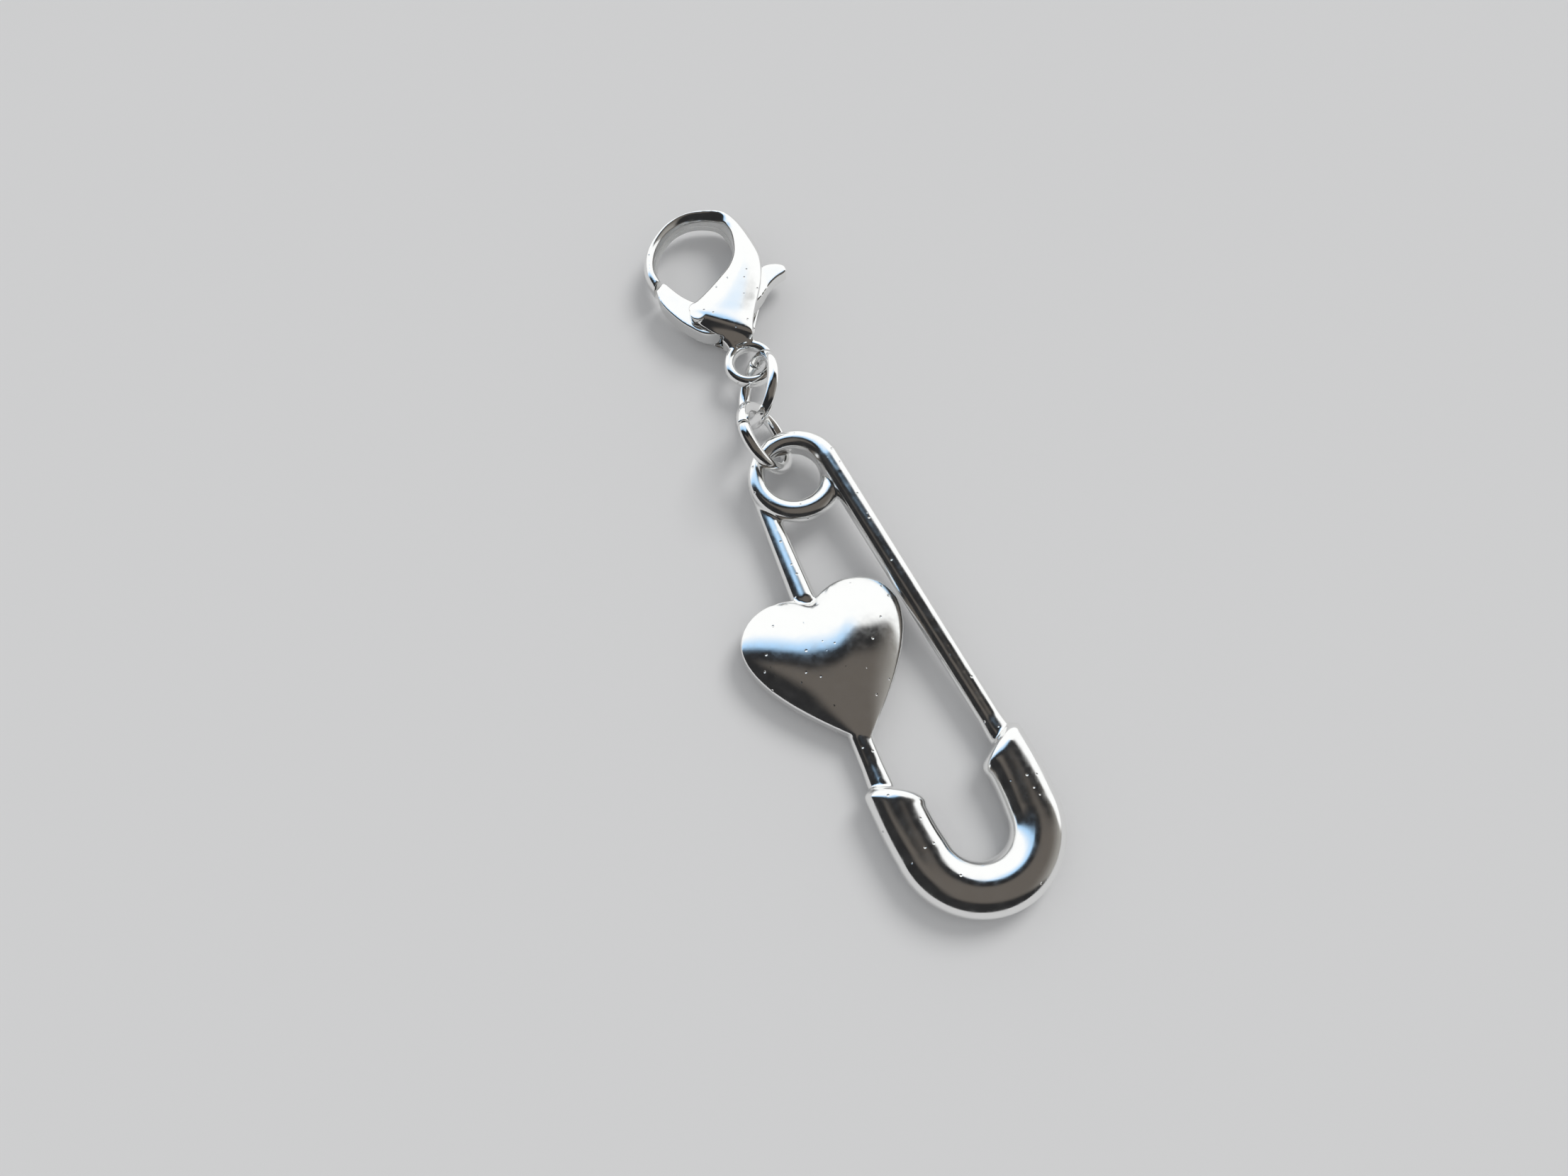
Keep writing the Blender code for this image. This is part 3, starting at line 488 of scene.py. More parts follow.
def leg_line(pin, side):
    """Foot of a leg, its direction towards the coil, and its length to where it meets the coil."""
    foot = Vector((side * LEG_FOOT_X, pin.bend_radius + LEG_FOOT_FROM_CAP))
    to_coil = coil_centre(pin).to_2d() - foot
    angle = math.atan2(to_coil.y, to_coil.x) - side * math.asin(pin.coil_radius / to_coil.length)
    reach = math.sqrt(to_coil.length_squared - pin.coil_radius ** 2)
    return foot, Vector((math.cos(angle), math.sin(angle))), reach


def coil_centre(pin):
    return Vector((COIL_OFFSET, pin.bend_radius + COIL_FROM_CAP, 0.0))


def coil_height(pin, turned):
    """Height of the coil's centreline after this many turns from the left leg."""
    return pin.leg_at_coil / 2 + COIL_PITCH * turned


def coil_diameter(pin, angle, turned):
    """The wire thins to a waist where the lower ring goes round it, and swells again into the two legs."""
    to_end = min(turned, COIL_TURNS - turned) * COIL_LEG_BLEND
    thick = mix(pin.leg_at_coil, COIL_WIRE, smoothstep(to_end))
    return mix(thick, COIL_WAIST, (0.5 + 0.5 * math.cos(angle - COIL_WAIST_ANGLE)) ** COIL_WAIST_POWER)


def coil_and_legs(pin, points_per_turn=120):
    """Left leg from the heart's notch, one and a half turns of coil, and the right leg down to the cap."""
    foot, along, _ = leg_line(pin, -1)
    end, back, reach = leg_line(pin, 1)
    leg_radius = pin.leg_at_coil / 2
    points = []
    radii = []
    for step, part, lift in LEG_END:
        place = foot + along * (HEART_FROM_FOOT + HEART_NOTCH + step * leg_radius)
        points.append(Vector((*place, coil_height(pin, 0.0) * lift)))
        radii.append(leg_radius * part)
    first = math.atan2(along.y, along.x) + math.pi / 2
    last = math.atan2(back.y, back.x) - math.pi / 2 - math.tau
    count = round(points_per_turn * (first - last) / math.tau)
    for i in range(count + 1):
        angle = mix(first, last, i / count)
        turned = COIL_TURNS * i / count
        offset = Vector((math.cos(angle), math.sin(angle), 0.0)) * pin.coil_radius
        points.append(coil_centre(pin) + offset + Vector((0.0, 0.0, coil_height(pin, turned))))
        radii.append(coil_diameter(pin, angle, turned) / 2)
    top = coil_height(pin, COIL_TURNS)
    for part in LONG_LEG_END:
        place = end + back * reach * (1.0 - part)
        points.append(Vector((*place, mix(top, CAP_END_AXIS_HEIGHT, min(1.0, part)))))
        radii.append(pin.leg_at_cap / 2 + (WEB_FLARE if part >= 1.0 else 0.0))
    return wire("coil_and_legs", points, radii)


def lower_leg(pin):
    """The stretch of the left leg from the heart's tip into the cap."""
    foot, along, _ = leg_line(pin, -1)
    radius = pin.leg_at_cap / 2
    tip = HEART_FROM_FOOT - HEART_TIP
    points = []
    radii = []
    for distance in (tip + LOWER_LEG_OVERLAP, tip / 2, 0.0, -LOWER_LEG_INSIDE_CAP):
        place = foot + along * distance
        height = mix(LOWER_LEG_CAP_HEIGHT, radius * LOWER_LEG_LIFT, min(1.0, max(0.0, distance / tip)))
        points.append(Vector((*place, height)))
        radii.append(radius + (WEB_FLARE if distance <= 0.0 else 0.0))
    return wire("lower_leg", points, radii)


def heart_outline(pin, count):
    """Points round the heart from the notch, down the right side to the tip and up the left."""
    wide = pin.heart_half_width
    right = (
        (Vector((0.0, HEART_NOTCH)), Vector((HEART_NOTCH_HANDLE[0], HEART_NOTCH + HEART_NOTCH_HANDLE[1])),
         Vector((HEART_LOBE_HANDLE_X, HEART_LOBE_TOP)), Vector((HEART_LOBE_X, HEART_LOBE_TOP))),
        (Vector((HEART_LOBE_X, HEART_LOBE_TOP)), Vector((HEART_LOBE_X + HEART_SHOULDER, HEART_LOBE_TOP)),
         Vector((wide, HEART_WIDEST_Y + HEART_SIDE_HANDLES[0])), Vector((wide, HEART_WIDEST_Y))),
        (Vector((wide, HEART_WIDEST_Y)), Vector((wide, HEART_WIDEST_Y - HEART_SIDE_HANDLES[1])),
         Vector((HEART_TIP_HANDLE[0], HEART_TIP_HANDLE[1] - HEART_TIP)), Vector((0.0, -HEART_TIP))),
    )
    half = []
    for curve, part in zip(right, HEART_SPANS):
        steps = max(2, round(count / 2 * part))
        half += [cubic(*curve, i / steps) for i in range(steps)]
    mirrored = [Vector((-p.x, p.y)) for p in reversed(half[1:])]
    return half + [Vector((0.0, -HEART_TIP))] + mirrored


def soap_film(outline, points):
    """Height, from 0 to 1, of a soap film blown up over the outline, as a smooth function of place.

    It is a paraboloid, with the harmonic polynomials that bring it down to nothing along the outline, and
    the forms that a film takes round an inward corner such as the notch.
    """
    def terms(places):
        z = (places[:, 1] + 1j * places[:, 0]) / HEART_TIP
        columns = [(z ** n).real for n in range(HEART_DOME_TERMS)]
        from_notch = -(z - HEART_NOTCH / HEART_TIP)
        for odd in (1, 3, 5):
            power = odd * math.pi / HEART_NOTCH_CORNER
            columns.append(np.abs(from_notch) ** power * np.cos(power * np.angle(from_notch)))
        return np.stack(columns, axis=1), -np.abs(z) ** 2 / 4

    edge, load = terms(outline)
    weights = np.linalg.lstsq(edge, -load, rcond=None)[0]
    inside, load = terms(points)
    height = np.maximum(inside @ weights + load, 0.0)
    return height / height.max()


def heart(pin):
    """Flat-backed heart with an upright rim wall and a domed face that dips towards the notch."""
    outline = heart_outline(pin, HEART_POINTS)
    edge = np.array([p[:] for p in outline])
    middle = np.array(HEART_CENTRE[:])
    rings = []
    for ring in range(HEART_RINGS):
        rings.append(middle + (edge - middle) * (1.0 - (ring / HEART_RINGS) ** HEART_RING_POWER))
    flat = np.concatenate(rings)
    down = np.clip((flat[:, 1] - HEART_VALLEY_FROM) / (HEART_NOTCH - HEART_VALLEY_FROM), 0.0, 1.0)
    valley = np.exp(-(flat[:, 0] / HEART_VALLEY_HALF_WIDTH) ** 2) * down ** 2 * (3.0 - 2.0 * down)
    dome = soap_film(edge, flat) ** HEART_DOME_POWER * (1.0 - HEART_VALLEY_DEPTH * valley)
    dome[:len(edge)] = 0.0
    rise = (HEART_RIM + (pin.heart_top - HEART_RIM) * dome).reshape(HEART_RINGS, -1)
    shrink = 1.0 - HEART_RIM_ROUND / pin.heart_half_width
    rows = [[(*p, HEART_BACK) for p in middle + (edge - middle) * shrink]]
    rows.append([(*p, HEART_BACK + HEART_RIM_ROUND) for p in edge])
    for ring, heights in zip(rings, rise):
        rows.append([(*p, z) for p, z in zip(ring, heights)])
    foot, along, _ = leg_line(pin, -1)
    right = Vector((along.y, -along.x))
    place = foot + along * HEART_FROM_FOOT + right * HEART_OFFSET
    turn = math.atan2(along.y, along.x) - math.pi / 2
    return piece("heart", loft(rows), Matrix.Translation((*place, 0.0)) @ Matrix.Rotation(turn, 4, "Z"))


def cap(pin, sides=72, bend_steps=80, arm_steps=12):
    """U-shaped cap lofted along its bend, with slanted, rounded arm ends and a flat back."""
    half = pin.cap_width / 2
    section = []
    for i in range(sides):
        angle = math.tau * (i + 0.5) / sides
        height = CAP_AXIS_HEIGHT + CAP_HALF_HEIGHT * math.sin(angle)
        section.append((half * math.cos(angle), max(0.0, height)))
    slant = math.tan(CAP_END_SLANT)

    def arm_ring(side, part, shrink, push):
        """One ring across an arm: part is 0 at the bend and 1 at the slanted end."""
        ring = []
        for across, height in section:
            n = across * shrink
            z = mix(CAP_AXIS_HEIGHT, height, shrink)
            pulled_in = (CAP_ARM_LEAN + CAP_ARM_TAPER * (n + half) / pin.cap_width) * part ** 2
            x = side * (pin.bend_radius + n - pulled_in - push * math.sin(CAP_END_SLANT))
            y = pin.bend_radius + part * (CAP_ARM_LENGTH + n * slant) + push * math.cos(CAP_END_SLANT)
            ring.append(Vector((x, y, z)))
        return ring

    ends = [(shrink, CAP_END_PROUD) for shrink in CAP_END_FACE]
    for step in range(CAP_END_STEPS, 0, -1):
        angle = math.pi / 2 * step / CAP_END_STEPS
        shrink = 1.0 - CAP_END_ROUND / half * (1.0 - math.cos(angle))
        ends.append((shrink, CAP_END_ROUND * (math.sin(angle) - 1.0)))
    arm = [i / arm_steps for i in range(arm_steps, 0, -1)]
    rings = [arm_ring(-1, 1.0, shrink, push) for shrink, push in ends]
    rings += [arm_ring(-1, part, 1.0, -CAP_END_ROUND * part) for part in arm]
    for i in range(bend_steps + 1):
        angle = math.pi + math.pi * i / bend_steps
        ring = []
        for across, height in section:
            reach = pin.bend_radius + across
            ring.append(Vector((reach * math.cos(angle), pin.bend_radius + reach * math.sin(angle), height)))
        rings.append(ring)
    rings += [arm_ring(1, part, 1.0, -CAP_END_ROUND * part) for part in reversed(arm)]
    rings += [arm_ring(1, 1.0, shrink, push) for shrink, push in reversed(ends)]
    return piece("cap", loft(rings))


def gate_scar(pin):
    """The broken-off gate of the casting: a small ragged stub low on the outside of the cap's bend."""
    bm = bmesh.new()
    bmesh.ops.create_icosphere(bm, subdivisions=3, radius=1.0)
    wide, deep, high = GATE_SCAR_HALF
    across, start, upward = GATE_SCAR_RIPPLE
    for vertex in bm.verts:
        x, y, z = vertex.co
        ragged = 1.0 + GATE_SCAR_RAGGED * math.sin(across * x + start) * math.cos(upward * z)
        vertex.co = Vector((x * wide, max(GATE_SCAR_FLAT, y) * deep, z * high)) * MM * ragged
    reach = pin.bend_radius + pin.cap_width / 2 - GATE_SCAR_SUNK
    angle = GATE_SCAR_ANGLE
    place = Vector((reach * math.cos(angle), pin.bend_radius + reach * math.sin(angle), GATE_SCAR_HEIGHT))
    return piece("gate_scar", bm, Matrix.Translation(place) @ Matrix.Rotation(angle + math.pi / 2, 4, "Z"))


def jump_ring(name, node, normal, cut_angle, sizes, steps=180):
    """A round wire bent to a ring, with a fine cut between its ends, whose edges are eased."""
    low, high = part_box(node)
    centre = (low + high) / 2
    level = normal.cross(Vector((0.0, 0.0, 1.0))).normalized()
    rising = normal.cross(level)
    radius = (sizes.outer_diameter - sizes.wire) / 2
    half_cut = sizes.cut / radius / 2
    points = []
    radii = []
    turns = [part * CUT_EDGE_SPAN for part, _ in CUT_EDGE]
    spans = turns + [mix(turns[-1], 1.0 - turns[-1], i / steps) for i in range(1, steps)]
    spans += [1.0 - t for t in reversed(turns)]
    swell = [r for _, r in CUT_EDGE] + [1.0] * (steps - 1) + [r for _, r in reversed(CUT_EDGE)]
    for span, size in zip(spans, swell):
        angle = cut_angle + mix(half_cut, math.tau - half_cut, span)
        points.append(centre + (level * math.cos(angle) + rising * math.sin(angle)) * radius)
        radii.append(sizes.wire / 2 * size)
    return wire(name, points, radii)


def clasp_matrix(sizes):
    """Place of the clasp's own frame, found from the lever's pivot."""
    pivot = Vector(JOINTS["lever_pivot"]["pos_m"])
    turned = Euler((CLASP_TIP, 0.0, CLASP_TURN)).to_matrix().to_4x4()
    middle = LEVER_PIVOT + Vector((0.0, 0.0, sizes.thickness / 2))
    return Matrix.Translation(pivot) @ turned @ Matrix.Translation(-middle)


def clasp_section(row, thickness, arc_steps=12):
    """One closed section of the clasp body across the line from its inner to its outer edge."""
    outer_u, outer_v, inner_u, inner_v, height, inner_wall, outer_wall, crown = row
    outer = Vector((outer_u * MM, outer_v * MM, 0.0))
    inner = Vector((inner_u * MM, inner_v * MM, 0.0))
    half = height / SECTION_HALF * thickness / 2
    flat = max(0.0, (crown - BODY_CROWN) * HOOK_BEVEL)
    top = []
    for i in range(arc_steps + 1):
        angle = math.pi / 2 * i / arc_steps
        across = mix(1.0 - math.cos(angle), i / arc_steps, flat) * crown
        rise = mix(math.sin(angle), i / arc_steps, flat)
        top.append((across, mix(inner_wall, 1.0, rise) * half))
    for i in range(1, arc_steps + 1):
        angle = math.pi / 2 * i / arc_steps
        fall = outer_wall + (1.0 - outer_wall) * math.cos(angle)
        top.append((crown + (1.0 - crown) * math.sin(angle), fall * half))
    side = top + [(across, -height) for across, height in reversed(top)]
    middle = thickness / 2
    return [inner.lerp(outer, across) + Vector((0.0, 0.0, middle + height)) for across, height in side]


def prism(name, outline, bottom, top):
    """A flat outline, given in millimetres, raised between two heights."""
    return piece(name, loft([[Vector((u * MM, v * MM, z)) for u, v in outline] for z in (bottom, top)]))


def peg(name, centre, radius, bottom, top, sides=64):
    """An upright round peg between two heights."""
    outline = []
    for i in range(sides):
        angle = math.tau * i / sides
        u = centre.x + radius * math.cos(angle)
        v = centre.y + radius * math.sin(angle)
        outline.append((u / MM, v / MM))
    return prism(name, outline, bottom, top)


def eye_ring(sizes, steps=96, sides=32):
    """The clasp's eye, an upright oval wire bent to a ring."""
    rings = []
    for i in range(steps):
        around = math.tau * i / steps
        ring = []
        for k in range(sides):
            angle = math.tau * k / sides
            reach = EYE_RADIUS + EYE_WIDTH / 2 * math.cos(angle)
            height = sizes.thickness / 2 + EYE_HEIGHT / 2 * math.sin(angle)
            ring.append(EYE_OFFSET + Vector((reach * math.cos(around), reach * math.sin(around), height)))
        rings.append(ring)
    return piece("eye", loft(rings, closed=True))


def clasp_body_form(sizes):
    """Body and eye in one casting, slotted for the lever and bored for the rivet."""
    sections = [clasp_section(row, sizes.thickness) for row in through(CLASP_SECTIONS, SECTION_STEPS)]
    obj = piece("body", loft(sections))
    combine(obj, eye_ring(sizes), "UNION")
    middle = sizes.thickness / 2
    combine(obj, peg("toe", TOE, TOE_RADIUS, middle - TOE_HALF_HEIGHT, middle + TOE_HALF_HEIGHT), "UNION")
    half_slot = sizes.lever / 2 + LEVER_GAP
    combine(obj, prism("slot", LEVER_SLOT, middle - half_slot, middle + half_slot), "DIFFERENCE")
    bore = peg("bore", LEVER_PIVOT, sizes.rivet / 2 + RIVET_GAP, -MM, RIVET_TOP + RIVET_GAP)
    combine(obj, bore, "DIFFERENCE")
    return obj


def lever_form(sizes):
    """Gate, hub and thumb tab in one flat casting, bored for the rivet and hollowed for its spring."""
    middle = sizes.thickness / 2
    bottom = middle - sizes.lever / 2
    far = CLASP_REACH / 2
    outline = [(p[0], p[1]) for p in through(LEVER_OUTLINE + LEVER_OUTLINE[:1], LEVER_STEPS)[:-1]]
    obj = prism("lever", outline, bottom - MM, bottom + sizes.lever + MM)
    profile = (
        (-far, sizes.lever), (TAB_NECK[0], sizes.lever),
        (TAB_NECK[1], TAB_THICKNESS), (far, TAB_THICKNESS),
    )
    below = [(u, middle - thick / 2) for u, thick in profile]
    above = [(u, middle + thick / 2) for u, thick in reversed(profile)]
    rings = [[Vector((u, v, z)) for u, z in below + above] for v in (0.0, CLASP_REACH)]
    combine(obj, piece("blank", loft(rings)), "INTERSECT")
    well = peg("well", LEVER_PIVOT, SPRING_WELL_RADIUS, bottom - MM, bottom + SPRING_WELL_DEPTH)
    combine(obj, well, "DIFFERENCE")
    bore = peg("bore", LEVER_PIVOT, sizes.rivet / 2 + RIVET_GAP, -MM, 2 * sizes.thickness)
    combine(obj, bore, "DIFFERENCE")
    return obj


def mark_raw_wall(obj, middle):
    """Mark the wall inside the hook, which the polish never reached.

    The line where the halves of the mould parted stands proud of it, and stays bright.
    """
    mesh = obj.data
    raw = mesh.attributes.new("raw", "FLOAT", "POINT")
    values = []
    for vertex, normal in zip(mesh.vertices, mesh.vertex_normals):
        inward = HOOK_HOLE - vertex.co
        inward.z = 0.0
        facing = smoothstep((normal.vector.dot(inward.normalized()) - RAW_FACING) / RAW_FACING_FADE)
        inside = smoothstep((vertex.co.y - RAW_FROM) / RAW_FADE)
        parting = smoothstep(abs(vertex.co.z - middle) / PARTING_LINE)
        limit = RAW_UPRIGHT_ABOVE if normal.vector.z > 0.0 else RAW_UPRIGHT_BELOW
        upright = smoothstep((limit - abs(normal.vector.z)) / RAW_UPRIGHT_FADE)
        values.append(inside * upright * facing * parting)
    raw.data.foreach_set("value", values)


# Finishes

def node(tree, kind, **values):
    """A shader node, with its named inputs set; other names are the node's own settings."""
    made = tree.nodes.new(kind)
    for name, value in values.items():
        socket = made.inputs.get(name.replace("_", " "))
        if socket is None:
            setattr(made, name, value)
        else:
            socket.default_value = value
    return made


def math_node(tree, operation, a, b=None, clamp=False):
    made = tree.nodes.new("ShaderNodeMath")
    made.operation = operation
    made.use_clamp = clamp
    for socket, value in zip(made.inputs, (a, b)):
        if isinstance(value, (int, float)):
            socket.default_value = value
        elif value is not None:
            tree.links.new(value, socket)
    return made.outputs[0]


def spread(tree, value, low, high, to_low=0.0, to_high=1.0):
    """Map a value between two limits smoothly to two others."""
    made = tree.nodes.new("ShaderNodeMapRange")
    made.interpolation_type = "SMOOTHSTEP"
    tree.links.new(value, made.inputs["Value"])
    for name, number in (("From Min", low), ("From Max", high), ("To Min", to_low), ("To Max", to_high)):
        made.inputs[name].default_value = number
    return made.outputs["Result"]


def noise(tree, place, scale, detail, roughness):
    made = node(tree, "ShaderNodeTexNoise", Scale=scale, Detail=detail, Roughness=roughness)
    tree.links.new(place, made.inputs["Vector"])
    return made.outputs["Fac"]


def node_red(tree, colour_socket):
    """The red share of a colour."""
    made = tree.nodes.new("ShaderNodeSeparateColor")
    tree.links.new(colour_socket, made.inputs[0])
    return made.outputs[0]


def blended(tree, factor, low, high):
    """Blend from one colour to another; each is a plain colour or comes from another node."""
    made = node(tree, "ShaderNodeMix", data_type="RGBA")
    tree.links.new(factor, made.inputs["Factor"])
    colours = [s for s in made.inputs if s.type == "RGBA"]
    for socket, value in zip(colours, (low, high)):
        if isinstance(value, tuple):
            socket.default_value = (*value, 1.0)
        else:
            tree.links.new(value, socket)
    return [s for s in made.outputs if s.type == "RGBA"][0]


def bumped(tree, surface, layers):
    """Stack bump layers, each (height socket, depth in metres), into the shader's normal."""
    last = None
    for height, depth in layers:
        made = node(tree, "ShaderNodeBump", Strength=1.0, Distance=depth)
        tree.links.new(height, made.inputs["Height"])
        if last is not None:
            tree.links.new(last, made.inputs["Normal"])
        last = made.outputs["Normal"]
    tree.links.new(last, surface.inputs["Normal"])


def finish(name):
    material = bpy.data.materials.new(name)
    material.use_nodes = True
    tree = material.node_tree
    place = tree.nodes.new("ShaderNodeTexCoord").outputs["Object"]
    return material, tree, tree.nodes["Principled BSDF"], place


def cast_plating(name, look, wave_depth, pit_scale, gloss_range):
    """Mirror plating over a tumbled casting: slow waves, cloudy haze, and fine pits that the polish missed.

    A vertex attribute called raw marks the walls that the polish never reached.
    """
    material, tree, surface, place = finish(name)
    surface.inputs["Base Color"].default_value = (*look.silver, 1.0)
    surface.inputs["Metallic"].default_value = 1.0
    raw = node(tree, "ShaderNodeAttribute", attribute_name="raw").outputs["Fac"]
    waves = noise(tree, place, *CAST_WAVES)
    haze = noise(tree, place, *CAST_HAZE)
    grain = noise(tree, place, *CAST_GRAIN)
    pits = node(tree, "ShaderNodeTexVoronoi", Scale=pit_scale, Randomness=1.0)
    tree.links.new(place, pits.inputs["Vector"])
    picked = math_node(tree, "GREATER_THAN", node_red(tree, pits.outputs["Color"]), PITTED_ABOVE)
    dent = spread(tree, pits.outputs["Distance"], *PIT_SLOPE, 1.0, 0.0)
    pit = math_node(tree, "MULTIPLY", dent, picked)
    gloss = spread(tree, haze, *HAZE_RANGE, *gloss_range)
    matt = math_node(tree, "MULTIPLY", raw, look.wall_roughness)
    tree.links.new(math_node(tree, "ADD", gloss, matt, clamp=True), surface.inputs["Roughness"])
    grain_depth = math_node(tree, "MULTIPLY", grain, raw)
    bumped(tree, surface, (
        (waves, wave_depth),
        (math_node(tree, "MULTIPLY", pit, -1.0), look.pit_depth),
        (grain_depth, GRAIN_DEPTH),
    ))
    return material


def drawn_wire(name, look):
    """Plated drawn wire: hair-fine draw lines and a slightly uneven haze."""
    material, tree, surface, place = finish(name)
    surface.inputs["Base Color"].default_value = (*look.silver, 1.0)
    surface.inputs["Metallic"].default_value = 1.0
    haze = noise(tree, place, *WIRE_HAZE)
    lines = noise(tree, place, *WIRE_LINES)
    tree.links.new(spread(tree, haze, *HAZE_RANGE, *WIRE_GLOSS), surface.inputs["Roughness"])
    bumped(tree, surface, ((haze, WIRE_HAZE_DEPTH), (lines, WIRE_LINE_DEPTH)))
    return material


def plain_steel(name, look):
    """Turned steel of the rivet and the spring, seen only through the slot."""
    material, tree, surface, place = finish(name)
    surface.inputs["Base Color"].default_value = (*look.steel, 1.0)
    surface.inputs["Metallic"].default_value = 1.0
    turned = noise(tree, place, *STEEL_TURNING)
    tree.links.new(spread(tree, turned, *CLOUD_RANGE, *STEEL_GLOSS), surface.inputs["Roughness"])
    bumped(tree, surface, ((turned, STEEL_DEPTH),))
    return material


# Stage

def floor_finish(look):
    material, tree, surface, place = finish("floor_paint")
    surface.inputs["Specular IOR Level"].default_value = FLOOR_SHEEN
    # Painted shade: the floor's colour fades to a darker copy away from the charm, as a far table in less
    # light would look
    away = node(tree, "ShaderNodeVectorMath", operation="LENGTH")
    tree.links.new(place, away.inputs[0])
    far = tuple(FLOOR_FAR_SHADE * c for c in look.floor)
    shade = blended(tree, spread(tree, away.outputs["Value"], *FLOOR_FADE), tuple(look.floor), far)
    tree.links.new(shade, surface.inputs["Base Color"])
    tint = noise(tree, place, *FLOOR_TINT)
    tree.links.new(spread(tree, tint, *CLOUD_RANGE, *FLOOR_GLOSS), surface.inputs["Roughness"])
    return material


def room(look):
    """A plain soft light for everything, and for polished metal a room with a window and dark furniture."""
    world = bpy.data.worlds.new("room")
    bpy.context.scene.world = world
    world.use_nodes = True
    tree = world.node_tree
    tree.nodes.clear()
    heading = tree.nodes.new("ShaderNodeTexCoord").outputs["Generated"]

    def along(direction):
        made = node(tree, "ShaderNodeVectorMath", operation="DOT_PRODUCT")
        tree.links.new(heading, made.inputs[0])
        made.inputs[1].default_value = direction
        return made.outputs["Value"]

    height = math_node(tree, "ADD", along((0.0, 0.0, 1.0)), ABOVE_NADIR)
    right = math_node(tree, "DIVIDE", along(ROOM_RIGHT), height)
    up = math_node(tree, "DIVIDE", along(ROOM_UP), height)
    rise = spread(tree, right, *SILL_RISE)
    fall = spread(tree, right, *SILL_FALL)
    sill = math_node(tree, "SUBTRACT", up, math_node(tree, "SUBTRACT", rise, fall))
    below = spread(tree, sill, *BAND_BELOW_SILL)
    band = math_node(tree, "MULTIPLY", below, spread(tree, right, *BAND_ENDS))
    leftward = math_node(tree, "MULTIPLY", right, CORNER_TOWARDS[0])
    low_left = math_node(tree, "ADD", leftward, math_node(tree, "MULTIPLY", up, CORNER_TOWARDS[1]))
    inside = spread(tree, low_left, *CORNER_FROM)
    corner = math_node(tree, "MULTIPLY", inside, spread(tree, right, *CORNER_ENDS))
    base = blended(tree, band, ROOM_FURNITURE, ROOM_DARK)
    base = blended(tree, corner, base, ROOM_DARK)
    base = blended(tree, spread(tree, right, *DARK_LEFT), base, ROOM_DARK)
    base = blended(tree, spread(tree, right, *WALL_RIGHT), base, ROOM_WALL)
    base = blended(tree, spread(tree, up, *DARK_BELOW), base, ROOM_DARK)
    rightward = math_node(tree, "MULTIPLY", math_node(tree, "MAXIMUM", right, 0.0), GLARE_LEAN)
    glare = math_node(tree, "ADD", sill, rightward)
    window = blended(tree, spread(tree, glare, *GLARE_FROM), ROOM_SKY, ROOM_WHITE)
    seen = blended(tree, spread(tree, sill, *SILL_EDGE), base, window)
    shiny = node(tree, "ShaderNodeBackground", Strength=1.0)
    tree.links.new(seen, shiny.inputs["Color"])
    plain = node(tree, "ShaderNodeBackground", Strength=look.daylight)
    plain.inputs["Color"].default_value = (1.0, 1.0, 1.0, 1.0)
    choose = tree.nodes.new("ShaderNodeMixShader")
    tree.links.new(tree.nodes.new("ShaderNodeLightPath").outputs["Is Glossy Ray"], choose.inputs[0])
    tree.links.new(plain.outputs[0], choose.inputs[1])
    tree.links.new(shiny.outputs[0], choose.inputs[2])
    tree.links.new(choose.outputs[0], tree.nodes.new("ShaderNodeOutputWorld").inputs[0])


def dress(obj, material, body, slot, *nodes):
    """Give a finished piece its material and its body, and hide the nodes it stands for. The slot is not
    used.
    """
    obj.data.materials.clear()
    obj.data.materials.append(material)
    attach(obj, body)
    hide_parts(*nodes)


class CHARM_OT_stage(Operator):
    """Floor, light and camera"""
    bl_idname = "charm.stage"
    bl_label = "Stage"

    def execute(self, context):
        look = context.scene.charm_stage
        bm = bmesh.new()
        bmesh.ops.create_grid(bm, x_segments=8, y_segments=8, size=FLOOR_REACH)
        floor = piece("floor", bm)
        floor.data.materials.append(floor_finish(look))
        room(look)
        lamp = bpy.data.lights.new("window_light", "SUN")
        lamp.energy = look.window
        lamp.angle = WINDOW_SOFTNESS
        lamp.color = WINDOW_COLOUR
        sun = bpy.data.objects.new("window_light", lamp)
        sideways, onward = WINDOW_PLACE
        towards = Vector(ROOM_RIGHT) * sideways + Vector(ROOM_UP) * onward + Vector((0.0, 0.0, 1.0))
        sun.rotation_euler = towards.to_track_quat("Z", "Y").to_euler()
        sun.visible_glossy = False
        context.scene.collection.objects.link(sun)
        lens = bpy.data.cameras.new("camera")
        lens.lens = CAMERA_LENS
        lens.sensor_width = 36.0
        lens.clip_start = 0.001
        camera = bpy.data.objects.new("camera", lens)
        camera.location = CAMERA_PLACE
        camera.rotation_euler = (CAMERA_TILT, 0.0, CAMERA_TURN)
        context.scene.collection.objects.link(camera)
        context.scene.camera = camera
        context.scene.view_settings.view_transform = "Standard"
        return {"FINISHED"}


class CHARM_OT_pin(Operator):
    """Pin casting: legs, coil, heart and cap in one piece"""
    bl_idname = "charm.pin"
    bl_label = "Pin casting"

    def execute(self, context):
        pin = context.scene.charm_pin
        obj = join("pin", (coil_and_legs(pin), lower_leg(pin), heart(pin), cap(pin), gate_scar(pin)))
        skin(obj, pin.skin, pin.polish)
        tip = math.atan2(PROP_HEIGHT, COIL_FROM_CAP + pin.bend_radius)
        obj.data.transform(Matrix.Rotation(tip, 4, "X"))
        plating = cast_plating("heart_pin_plating", context.scene.charm_finish, *PIN_SURFACE)
        dress(obj, plating, "pin", "bright_plating", "pin_casting")
        return {"FINISHED"}


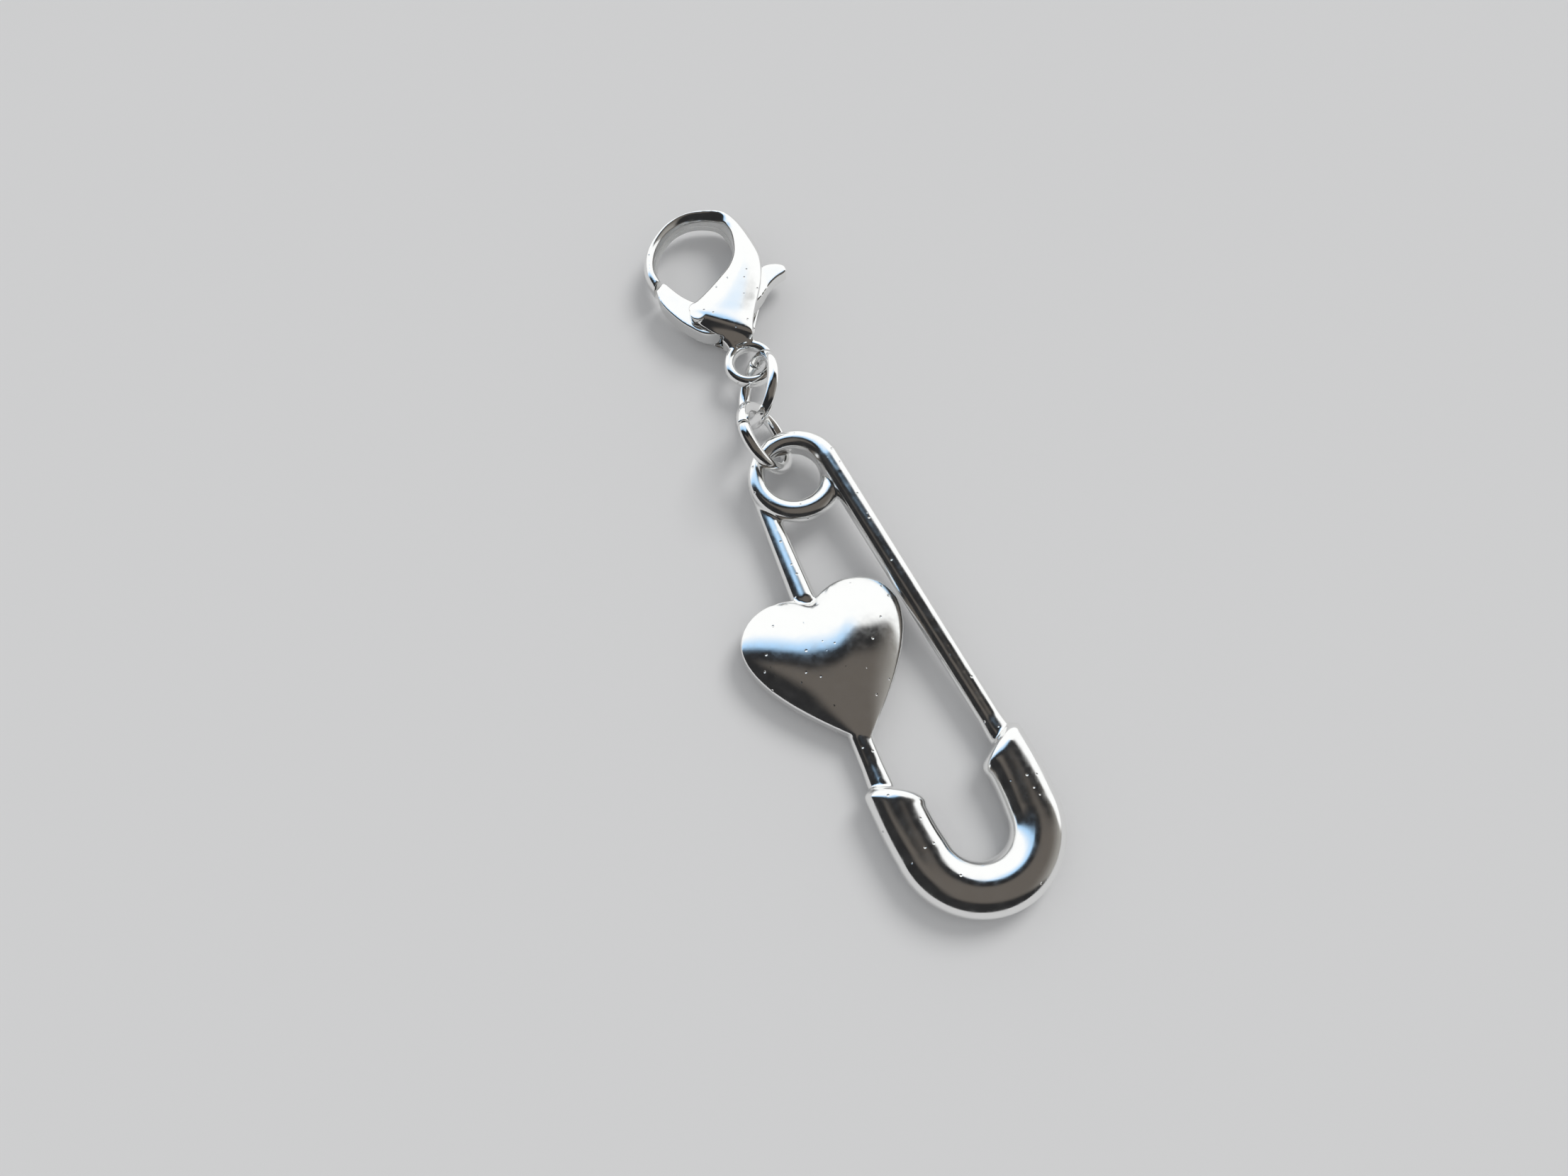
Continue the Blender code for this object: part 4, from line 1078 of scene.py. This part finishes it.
class CHARM_OT_rings(Operator):
    """Both jump rings"""
    bl_idname = "charm.rings"
    bl_label = "Jump rings"

    def execute(self, context):
        sizes = context.scene.charm_rings
        plating = drawn_wire("jump_ring_plating", context.scene.charm_finish)
        for name, normal, cut in (("lower", LOWER_RING_NORMAL, LOWER_RING_CUT_ANGLE),
                                  ("upper", UPPER_RING_NORMAL, UPPER_RING_CUT_ANGLE)):
            obj = jump_ring(name + "_ring", name + "_jump_ring", normal, cut, sizes)
            dress(obj, plating, name + "_ring", "ring_plating", name + "_jump_ring")
        return {"FINISHED"}


class CHARM_OT_clasp(Operator):
    """Lobster clasp body with its eye"""
    bl_idname = "charm.clasp"
    bl_label = "Clasp body"

    def execute(self, context):
        sizes = context.scene.charm_clasp
        obj = clasp_body_form(sizes)
        obj.name = "clasp"
        skin(obj, sizes.skin, sizes.polish)
        mark_raw_wall(obj, sizes.thickness / 2)
        obj.data.transform(clasp_matrix(sizes))
        plating = cast_plating("clasp_plating", context.scene.charm_finish, *CLASP_SURFACE)
        dress(obj, plating, "clasp", "bright_plating", "clasp_body")
        return {"FINISHED"}


class CHARM_OT_lever(Operator):
    """Clasp lever, and the finish of its rivet and spring"""
    bl_idname = "charm.lever"
    bl_label = "Clasp lever"

    def execute(self, context):
        sizes = context.scene.charm_clasp
        look = context.scene.charm_finish
        obj = lever_form(sizes)
        skin(obj, sizes.skin, sizes.polish)
        obj.data.transform(clasp_matrix(sizes))
        plating = cast_plating("lever_plating", look, *LEVER_SURFACE)
        dress(obj, plating, "lever", "lever_plating", "clasp_lever")
        steel = plain_steel("rivet_steel", look)
        for name in ("lever_rivet", "lever_spring"):
            carried = frame["nodes"][name]
            carried.data.materials.clear()
            carried.data.materials.append(steel)
        return {"FINISHED"}


class CHARM_PT_panel(Panel):
    """Everything that builds the charm"""
    bl_idname = "CHARM_PT_panel"
    bl_label = "Safety pin charm"
    bl_space_type = "VIEW_3D"
    bl_region_type = "UI"
    bl_category = "Charm"

    def draw(self, context):
        for group in GROUPS:
            settings = getattr(context.scene, group)
            for name in settings.bl_rna.properties.keys():
                if name not in ("rna_type", "name"):
                    self.layout.prop(settings, name)
        for maker in MAKERS:
            self.layout.operator(maker.bl_idname)


GROUPS = {
    "charm_pin": PinSizes,
    "charm_rings": RingSizes,
    "charm_clasp": ClaspSizes,
    "charm_finish": Finishes,
    "charm_stage": StageLook,
}
MAKERS = (CHARM_OT_stage, CHARM_OT_pin, CHARM_OT_rings, CHARM_OT_clasp, CHARM_OT_lever)


def register():
    for made in (*GROUPS.values(), *MAKERS, CHARM_PT_panel):
        bpy.utils.register_class(made)
    for name, group in GROUPS.items():
        setattr(bpy.types.Scene, name, PointerProperty(type=group))


def unregister():
    for name in GROUPS:
        delattr(bpy.types.Scene, name)
    for made in (CHARM_PT_panel, *reversed(MAKERS), *reversed(list(GROUPS.values()))):
        bpy.utils.unregister_class(made)


def main():
    register()
    for maker in MAKERS:
        group, name = maker.bl_idname.split(".")
        getattr(getattr(bpy.ops, group), name)()


if __name__ == "__main__":
    main()
